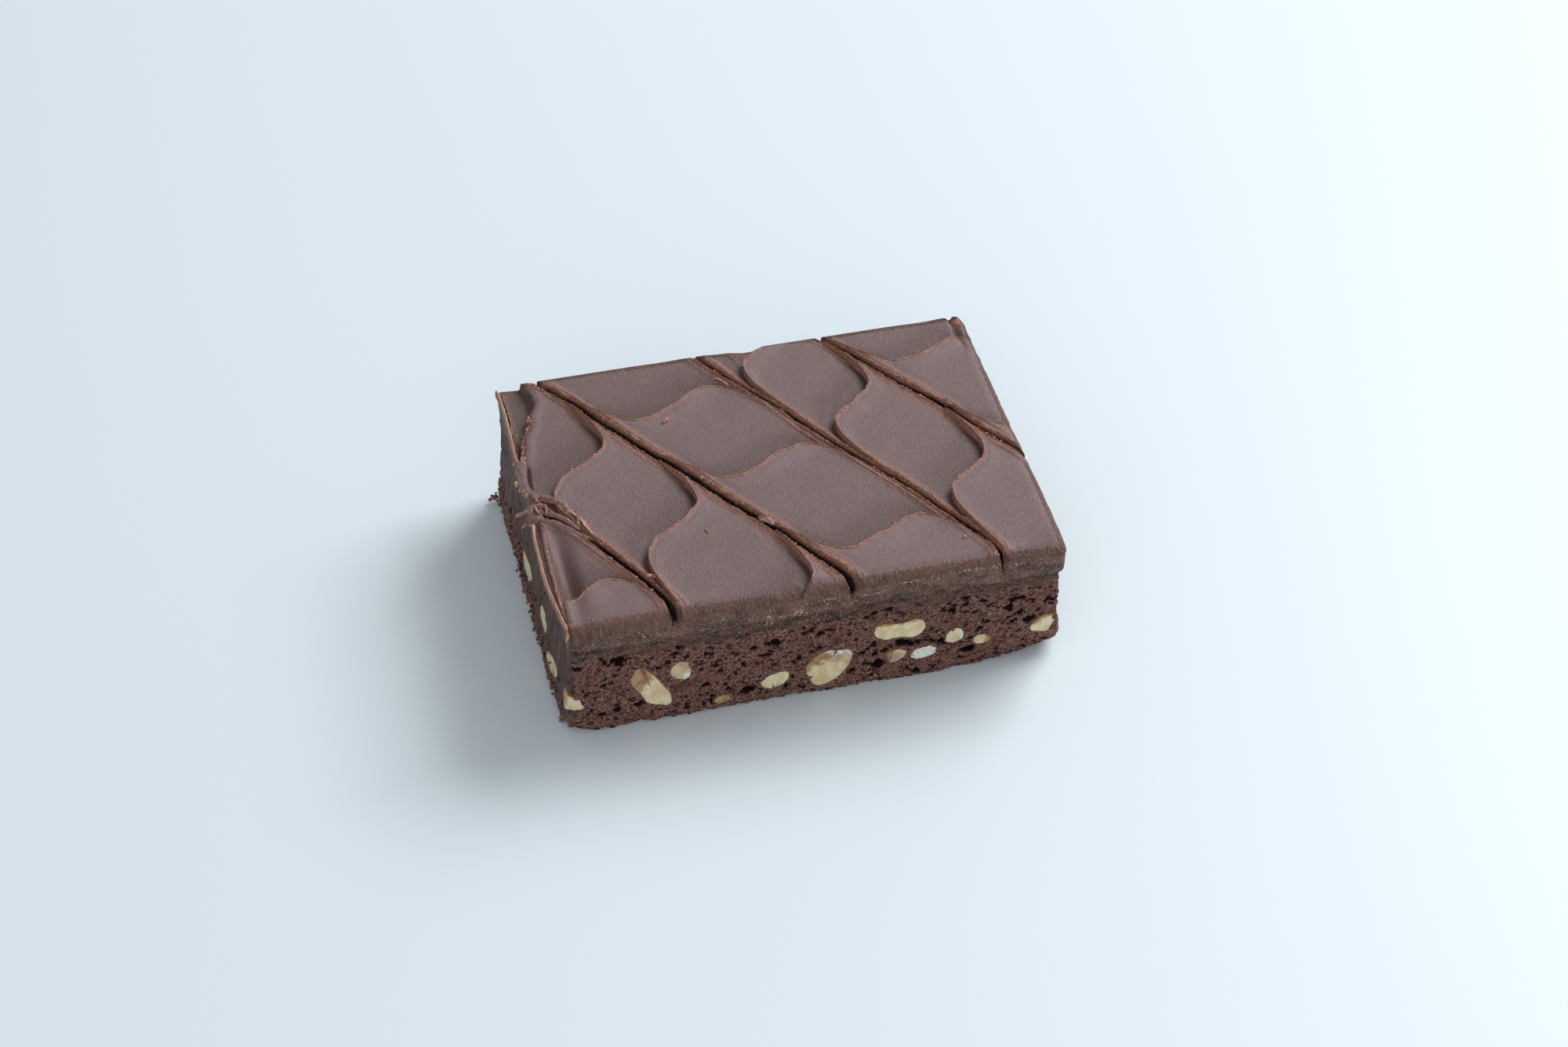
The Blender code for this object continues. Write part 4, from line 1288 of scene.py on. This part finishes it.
def icing_material(settings):
    made = Nodes("fudge_icing_fine")
    patches = made.noise(0.009, 3.0)
    mottle = made.noise(0.0007, 3.0)
    # Painted sheen: paler, bluish colour past each wave's edge, in patches, standing in for the sky's
    # reflection.
    painted_sheen = made.times(made.value("painted_sheen"), made.spread(patches, 0.3, 0.7, 0.35, 1.0))
    colour = made.mix(made.spread(mottle, 0.35, 0.65), settings.face_colour, settings.face_dark)
    colour = made.mix(painted_sheen, colour, settings.painted_sheen_colour)
    # Painted shade: the low end of each wave mixed darker.
    colour = made.mix(made.times(made.value("low_end_shade"), 0.85), colour, settings.low_end_shade_colour)
    colour = made.mix(made.value("scraped"), colour, settings.scraped_colour)
    ragged = made.spread(made.noise(0.0005, 3.0, roughness=0.6), 0.36, 0.58, 0.35, 1.0)
    warm = made.times(made.value("warm_edge"), ragged)
    colour = made.mix(warm, colour, settings.warm_colour)
    streaks = made.noise(0.0005, 3.0, (1.0, 1.0, 0.18))
    blotches = made.spots(0.35, 0.65, 0.0032, 3.0)
    smear = made.mix(made.spread(streaks, 0.36, 0.64), settings.smear_dark, settings.smear_colour)
    smear = made.mix(made.times(blotches, 0.6), smear, settings.smear_red)
    specks = made.spots(0.60, 0.72, 0.0004, 2.0, (1.0, 1.0, 0.4))
    smear = made.mix(made.times(specks, 0.75), smear, settings.fleck_colour)
    band, band_grain = dense_look(made, bpy.context.scene.brownie_crumb)
    colour = made.mix(made.value("side"), colour, smear)
    colour = made.mix(made.value("band"), colour, band)
    # Painted shade: the slits' walls and bottoms are darkened nearly to black, standing in for the shade in
    # them.
    colour = made.mix(made.spread(made.value("slit"), 0.04, 0.35), colour, settings.slit_shade_colour)
    rough = made.spread(made.value("side"), 0.0, 1.0, settings.roughness, 0.68)
    stipple = made.noise(settings.stipple_size, 1.0, (1.35, 0.8, 1.0), 0.4)
    shade = made.bump(stipple, settings.stipple_height)
    shade = made.bump(made.noise(0.0002, 2.0), 0.00002, shade)
    crumbled = made.times(made.value("warm_edge"), made.noise(0.0004, 3.0, roughness=0.6))
    shade = made.bump(crumbled, 0.00055, shade)
    sides = made.times(made.value("side"), made.noise(0.0005, 3.0, (1.0, 1.0, 0.3)))
    shade = made.bump(sides, 0.0007, shade)
    shade = made.bump(made.times(made.value("band"), band_grain), 0.0005, shade)
    return made.finish(colour, rough, shade, Specular_IOR_Level=0.5)


def crumb_material(settings):
    made = Nodes("brownie_crumb_fine")
    grains = made.spots(0.38, 0.60, 0.0005, 3.0, (0.8, 0.8, 1.2), 0.6)
    patches = made.spots(0.35, 0.65, 0.0040, 2.0)
    colour = made.mix(grains, settings.crumb_dark, settings.crumb_colour)
    bright = made.times(made.spots(0.54, 0.66, 0.00042, 3.0), 0.85)
    colour = made.mix(bright, colour, settings.crumb_light)
    colour = made.mix(made.times(patches, 0.45), colour, settings.crumb_red)
    band, band_grain = dense_look(made, settings)
    colour = made.mix(made.spread(made.value("band"), 0.1, 0.9), colour, band)
    streaks = made.spots(0.36, 0.66, 0.0009, 3.0, (1.0, 1.0, 0.14))
    drawn = made.mix(streaks, settings.drawn_dark, settings.drawn_colour)
    share = made.spread(made.wandering("drawn", 0.0012, -0.3, 0.2, 3.0), 0.2, 0.8)
    colour = made.mix(share, colour, drawn)
    small = made.spread(made.cells(0.0008, (0.6, 0.6, 1.0)), 0.34, 0.16)
    larger = made.spread(made.cells(0.0019, (0.55, 0.55, 1.0)), 0.25, 0.14)
    small = made.times(small, made.spots(0.38, 0.48, 0.0018, 2.0))
    pores = made.maths("MAXIMUM", small, larger)
    pores = made.times(pores, made.spread(made.value("band"), 0.2, 0.9, 1.0, 0.2))
    pores = made.times(pores, made.spread(made.value("near_nut"), 0.2, 0.8, 1.0, 0.0))
    pores = made.times(pores, made.spread(share, 0.0, 1.0, 1.0, 0.3))
    # Painted shade: the holes, by their depth, and the finer pores darken the crumb nearly to black.
    dark = made.maths("MAXIMUM", made.spread(made.value("hole"), 0.10, 0.55), pores)
    colour = made.mix(dark, colour, settings.hole_shade_colour)
    grain = made.noise(0.00045, 4.0, (0.9, 0.9, 1.15), 0.68)
    shade = made.bump(grain, 0.0013)
    shade = made.bump(made.times(band_grain, made.value("band")), 0.0003, shade)
    shade = made.bump(made.times(pores, -1.0), 0.0005, shade)
    return made.finish(colour, 0.72, shade, Specular_IOR_Level=0.3)


def walnut_material(settings):
    made = Nodes("walnut_fine")
    cloudy = made.spots(0.35, 0.65, 0.0020, 3.0)
    flesh = made.mix(cloudy, settings.flesh_colour, settings.flesh_pale)
    veins = made.spots(0.56, 0.74, 0.0007, 3.0, (1.0, 1.0, 0.5))
    flesh = made.mix(made.times(veins, 0.25), flesh, settings.amber_colour)
    glassy = made.mix(cloudy, settings.glassy_colour, settings.flesh_colour)
    flesh = made.mix(made.value("glassy"), flesh, glassy)
    amber = made.times(made.value("amber"), made.spread(cloudy, 0.0, 1.0, 0.95, 0.7))
    flesh = made.mix(amber, flesh, settings.amber_colour)
    # Chalky flakes are the flesh's own colour; on the second front walnut one of them is a painted glint.
    flakes = made.times(made.value("chalk_and_glint"), made.spots(0.36, 0.48, 0.0006, 3.0))
    flesh = made.mix(flakes, flesh, settings.chalk_and_glint_colour)
    edge = made.wandering("skin", 0.0014, -0.35, 0.25)
    colour = made.mix(made.spread(edge, 0.30, 0.75), flesh, settings.amber_colour)
    colour = made.mix(made.spread(edge, 0.8, 1.1), colour, settings.skin_colour)
    rough = made.spread(made.value("glassy"), 0.0, 1.0, 0.42, 0.22)
    shade = made.bump(made.noise(0.0007, 3.0), 0.00012)
    shade = made.bump(made.times(flakes, made.noise(0.0003, 3.0)), 0.0002, shade)
    finished = made.finish(
        colour, rough, shade, Subsurface_Weight=0.35, Subsurface_Scale=0.002, Specular_IOR_Level=0.5
    )
    made.shader.inputs["Subsurface Radius"].default_value = (1.0, 0.6, 0.25)
    return finished


def torn_material(settings, name, value):
    """Torn icing: brown where it is damp and tan where it has dried, by a stored value."""
    made = Nodes(name)
    mottle = made.spots(0.35, 0.65, 0.0008, 3.0)
    damp = made.mix(mottle, settings.face_dark, settings.face_colour)
    dry = made.mix(mottle, settings.warm_colour, settings.dry_colour)
    share = made.spread(made.wandering(value, 0.0005, -0.25, 0.25), 0.15, 0.85)
    colour = made.mix(share, damp, dry)
    shade = made.bump(made.noise(0.0004, 3.0, (1.0, 1.0, 0.6)), 0.00022)
    return made.finish(colour, 0.55, shade, Specular_IOR_Level=0.4)


def fleck_material(settings):
    made = Nodes("dry_fleck")
    colour = made.mix(made.spread(made.value("tone"), 0.2, 0.9), settings.dry_colour, settings.pale_colour)
    shade = made.bump(made.noise(0.0002, 2.0), 0.00008)
    return made.finish(colour, 0.5, shade)


def cake_crumb_material(settings):
    made = Nodes("loose_crumb")
    grains = made.spots(0.38, 0.62, 0.0004, 3.0)
    toned = made.mix(made.value("tone"), settings.crumb_red, settings.crumb_colour)
    colour = made.mix(grains, settings.crumb_dark, toned)
    shade = made.bump(made.noise(0.0003, 3.0), 0.0003)
    return made.finish(colour, 0.7, shade, Specular_IOR_Level=0.3)


def floor_material(settings):
    made = Nodes("pale_floor")
    tone = made.spots(0.3, 0.7, 0.35, 2.0)
    colour = made.mix(made.times(tone, 0.25), settings.floor_colour, settings.floor_shade)
    grain = made.bump(made.noise(0.004, 2.0), 0.00002)
    return made.finish(colour, 0.45, grain)


# ---------------------------------------------------------------- settings

def colour_setting(name, description, default):
    return FloatVectorProperty(
        name=name, description=description, default=default, size=3, subtype="COLOR", min=0.0, max=1.0
    )


def length_setting(name, description, default):
    return FloatProperty(name=name, description=description, default=default, unit="LENGTH", precision=5)


def power_setting(name, description, default):
    return FloatProperty(name=name, description=description, default=default, unit="POWER")


class BrownieIcingSettings(bpy.types.PropertyGroup):
    """Colours and surface of the fudge icing, with the sheen and shade painted on it."""

    face_colour: colour_setting("Face", "The combed face", (0.172, 0.098, 0.091))
    face_dark: colour_setting("Face, darker", "Darker patches of the face", (0.142, 0.079, 0.072))
    # Painted sheen: this paler, bluish colour past each edge stands in for the sky's reflection.
    painted_sheen_colour: colour_setting("Painted sheen", "The paler, bluish face past each edge", (0.200, 0.124, 0.127))
    # Painted shade: this dark colour at each wave's low end stands in for the shade there.
    low_end_shade_colour: colour_setting("Low end shade", "The low end of each wave", (0.074, 0.036, 0.029))
    warm_colour: colour_setting("Warm edge", "Torn edges of waves and slits", (0.455, 0.205, 0.128))
    scraped_colour: colour_setting("Scraped", "Icing scraped thin at the left", (0.110, 0.062, 0.050))
    smear_colour: colour_setting("Smear", "Icing drawn down the cut sides", (0.165, 0.083, 0.061))
    smear_dark: colour_setting("Smear, darker", "Between the streaks of the smear", (0.078, 0.038, 0.028))
    smear_red: colour_setting("Smear, redder", "Warm patches of the smear", (0.190, 0.084, 0.058))
    fleck_colour: colour_setting("Fleck", "Pale crystals in the smear", (0.370, 0.225, 0.150))
    dry_colour: colour_setting("Torn, dry", "Torn icing that has dried", (0.520, 0.290, 0.190))
    pale_colour: colour_setting("Pale fleck", "The palest dry flecks", (0.700, 0.560, 0.420))
    # Painted shade: this near-black inside the slits stands in for the shade in them.
    slit_shade_colour: colour_setting("Slit shade", "The bottoms of the slits", (0.014, 0.005, 0.003))
    roughness: FloatProperty(name="Roughness", description="Of the face", default=0.46, min=0.0, max=1.0)
    stipple_size: length_setting("Stipple", "Size of the face's stipple", 0.00024)
    stipple_height: length_setting("Stipple height", "Height of the stipple", 0.00017)


class BrownieCrumbSettings(bpy.types.PropertyGroup):
    """Colours of the cut crumb, with the shade painted in its holes."""

    crumb_colour: colour_setting("Crumb", "The cut crumb", (0.400, 0.202, 0.160))
    crumb_dark: colour_setting("Crumb, darker", "Between the grains", (0.078, 0.031, 0.025))
    crumb_light: colour_setting("Crumb, lighter", "Light grains", (0.660, 0.420, 0.315))
    crumb_red: colour_setting("Crumb, redder", "Warm patches", (0.300, 0.115, 0.085))
    band_colour: colour_setting("Band", "Dense crumb under the icing", (0.205, 0.102, 0.078))
    band_dark: colour_setting("Band, darker", "Damp patches of the dense crumb", (0.074, 0.040, 0.032))
    band_light: colour_setting("Band, lighter", "Grains of the dense crumb", (0.400, 0.250, 0.180))
    drawn_colour: colour_setting("Drawn icing", "Icing drawn down over the left side", (0.270, 0.172, 0.155))
    drawn_dark: colour_setting("Drawn icing, darker", "Between its streaks", (0.160, 0.096, 0.086))
    # Painted shade: this near-black inside the holes stands in for the shade in them.
    hole_shade_colour: colour_setting("Hole shade", "Inside the holes", (0.012, 0.004, 0.003))


class BrownieWalnutSettings(bpy.types.PropertyGroup):
    """Colours of the walnuts."""

    flesh_colour: colour_setting("Flesh", "The cut flesh", (0.660, 0.510, 0.280))
    flesh_pale: colour_setting("Flesh, paler", "Pale patches", (0.760, 0.670, 0.440))
    amber_colour: colour_setting("Amber", "Oily edges", (0.290, 0.115, 0.030))
    skin_colour: colour_setting("Skin", "The papery skin", (0.150, 0.055, 0.020))
    glassy_colour: colour_setting("Glassy", "Translucent, oily flesh", (0.430, 0.310, 0.240))
    # White dry flakes, and on the second front walnut a painted glint.
    chalk_and_glint_colour: colour_setting("Chalk and glint", "White dry flakes", (0.840, 0.860, 0.800))


class BrownieStageSettings(bpy.types.PropertyGroup):
    """The floor, the lights and the camera."""

    floor_colour: colour_setting("Floor", "The pale floor", (0.720, 0.790, 0.830))
    floor_shade: colour_setting("Floor, shaded", "Slightly darker patches", (0.690, 0.760, 0.800))
    window_power: power_setting("Window", "Power of the large soft light", 22.5)
    fill_power: power_setting("Fill", "Power of the front fill", 2.6)
    sky_strength: FloatProperty(name="Sky", description="Strength of the even light", default=0.42, min=0.0)


# ---------------------------------------------------------------- operators

class BROWNIE_OT_icing(bpy.types.Operator):
    """Builds the combed fudge icing"""

    bl_idname = "brownie.icing"
    bl_label = "Icing"

    def execute(self, context):
        settings = context.scene.brownie_icing
        finish_piece(make_icing(), "fudge_icing", icing_material(settings), "icing")
        return {"FINISHED"}


class BROWNIE_OT_crumb(bpy.types.Operator):
    """Builds the cake with its open crumb"""

    bl_idname = "brownie.crumb"
    bl_label = "Cake"

    def execute(self, context):
        settings = context.scene.brownie_crumb
        finish_piece(make_cake(), "cake_crumb", crumb_material(settings), "cake")
        return {"FINISHED"}


class BROWNIE_OT_walnuts(bpy.types.Operator):
    """Builds the cut walnuts"""

    bl_idname = "brownie.walnuts"
    bl_label = "Walnuts"

    def execute(self, context):
        settings = context.scene.brownie_walnuts
        material = walnut_material(settings)
        loops = walnut_loops()
        for node in walnut_nodes():
            finish_piece(make_walnut(node, loops), "walnut", material, node)
        return {"FINISHED"}


class BROWNIE_OT_torn_icing(bpy.types.Operator):
    """Builds the strips that the knife tore along the left side and the slits"""

    bl_idname = "brownie.torn_icing"
    bl_label = "Torn icing"

    def execute(self, context):
        material = torn_material(context.scene.brownie_icing, "torn_icing_fine", "dry")
        finish_piece(make_torn_icing(), "fudge_icing", material)
        return {"FINISHED"}


class BROWNIE_OT_crumbs(bpy.types.Operator):
    """Builds the crumbs of icing and cake, and the dry flecks"""

    bl_idname = "brownie.crumbs"
    bl_label = "Crumbs and flecks"

    def execute(self, context):
        icing, cake = context.scene.brownie_icing, context.scene.brownie_crumb
        finish_piece(make_icing_crumbs(), "fudge_icing", torn_material(icing, "icing_crumb_fine", "tone"))
        finish_piece(make_flecks(), "fudge_icing", fleck_material(icing))
        finish_piece(make_cake_crumbs(), "cake_crumb", cake_crumb_material(cake))
        return {"FINISHED"}


def add_area_light(name, place, size, power, colour):
    """A soft rectangular light turned towards the brownie."""
    light = bpy.data.lights.new(name, "AREA")
    light.shape = "RECTANGLE"
    light.size, light.size_y = size
    light.energy = power
    light.color = colour
    lamp = bpy.data.objects.new(name, light)
    lamp.location = place
    lamp.rotation_euler = (Vector(LIGHT_AIM) - Vector(place)).to_track_quat("-Z", "Y").to_euler()
    bpy.context.scene.collection.objects.link(lamp)


def add_camera():
    """A long lens held in front of the brownie and to its left, looking down on it."""
    data = bpy.data.cameras.new("camera")
    data.lens, data.sensor_width = CAMERA_LENS
    data.clip_start = 0.01
    camera = bpy.data.objects.new("camera", data)
    heading, pitch, roll = (math.radians(turn) for turn in CAMERA_TURNS)
    level = math.cos(pitch)
    forward = Vector((math.sin(heading) * level, math.cos(heading) * level, -math.sin(pitch)))
    sideways = Vector((math.cos(heading), -math.sin(heading), 0.0))
    up = sideways.cross(forward)
    right = math.cos(roll) * sideways + math.sin(roll) * up
    up = right.cross(forward)
    turned = Matrix((right, up, -forward)).transposed()
    camera.matrix_world = Matrix.Translation(CAMERA_PLACE) @ turned.to_4x4()
    bpy.context.scene.collection.objects.link(camera)
    bpy.context.scene.camera = camera


class BROWNIE_OT_stage(bpy.types.Operator):
    """Adds the floor, the soft lights and the camera"""

    bl_idname = "brownie.stage"
    bl_label = "Stage"

    def execute(self, context):
        settings = context.scene.brownie_stage
        reach = FLOOR_REACH / MM
        corners = [(-reach, -reach, 0.0), (reach, -reach, 0.0), (reach, reach, 0.0), (-reach, reach, 0.0)]
        floor = new_mesh("floor", np.array(corners), [(0, 1, 2, 3)])
        floor.data.materials.append(floor_material(settings))
        window, fill = settings.window_power, settings.fill_power
        add_area_light("window", (1.00, 0.55, 1.00), (1.0, 0.8), window, (0.96, 0.98, 1.0))
        add_area_light("fill", (-0.25, -0.80, 0.50), (0.9, 0.7), fill, (1.0, 0.95, 0.90))
        world = bpy.data.worlds.new("sky")
        world.use_nodes = True
        background = world.node_tree.nodes["Background"]
        background.inputs["Color"].default_value = (0.86, 0.93, 1.0, 1.0)
        background.inputs["Strength"].default_value = settings.sky_strength
        context.scene.world = world
        context.scene.view_settings.view_transform = "Standard"
        add_camera()
        return {"FINISHED"}


class BROWNIE_PT_panel(bpy.types.Panel):
    """Lists the brownie's pieces and their settings"""

    bl_label = "Brownie"
    bl_idname = "BROWNIE_PT_panel"
    bl_space_type = "VIEW_3D"
    bl_region_type = "UI"
    bl_category = "Brownie"

    def draw(self, context):
        for operator in OPERATORS:
            self.layout.operator(operator.bl_idname)
        for group_name, kind in SETTINGS:
            box = self.layout.box()
            for name in kind.__annotations__:
                box.prop(getattr(context.scene, group_name), name)


OPERATORS = (
    BROWNIE_OT_stage,
    BROWNIE_OT_crumb,
    BROWNIE_OT_walnuts,
    BROWNIE_OT_icing,
    BROWNIE_OT_torn_icing,
    BROWNIE_OT_crumbs,
)
SETTINGS = (
    ("brownie_icing", BrownieIcingSettings),
    ("brownie_crumb", BrownieCrumbSettings),
    ("brownie_walnuts", BrownieWalnutSettings),
    ("brownie_stage", BrownieStageSettings),
)


def register():
    for name, group in SETTINGS:
        bpy.utils.register_class(group)
        setattr(bpy.types.Scene, name, PointerProperty(type=group))
    for operator in OPERATORS:
        bpy.utils.register_class(operator)
    bpy.utils.register_class(BROWNIE_PT_panel)


def unregister():
    bpy.utils.unregister_class(BROWNIE_PT_panel)
    for operator in reversed(OPERATORS):
        bpy.utils.unregister_class(operator)
    for name, group in reversed(SETTINGS):
        delattr(bpy.types.Scene, name)
        bpy.utils.unregister_class(group)


def main():
    register()
    bpy.ops.brownie.stage()
    bpy.ops.brownie.crumb()
    bpy.ops.brownie.walnuts()
    bpy.ops.brownie.icing()
    bpy.ops.brownie.torn_icing()
    bpy.ops.brownie.crumbs()


if __name__ == "__main__":
    main()
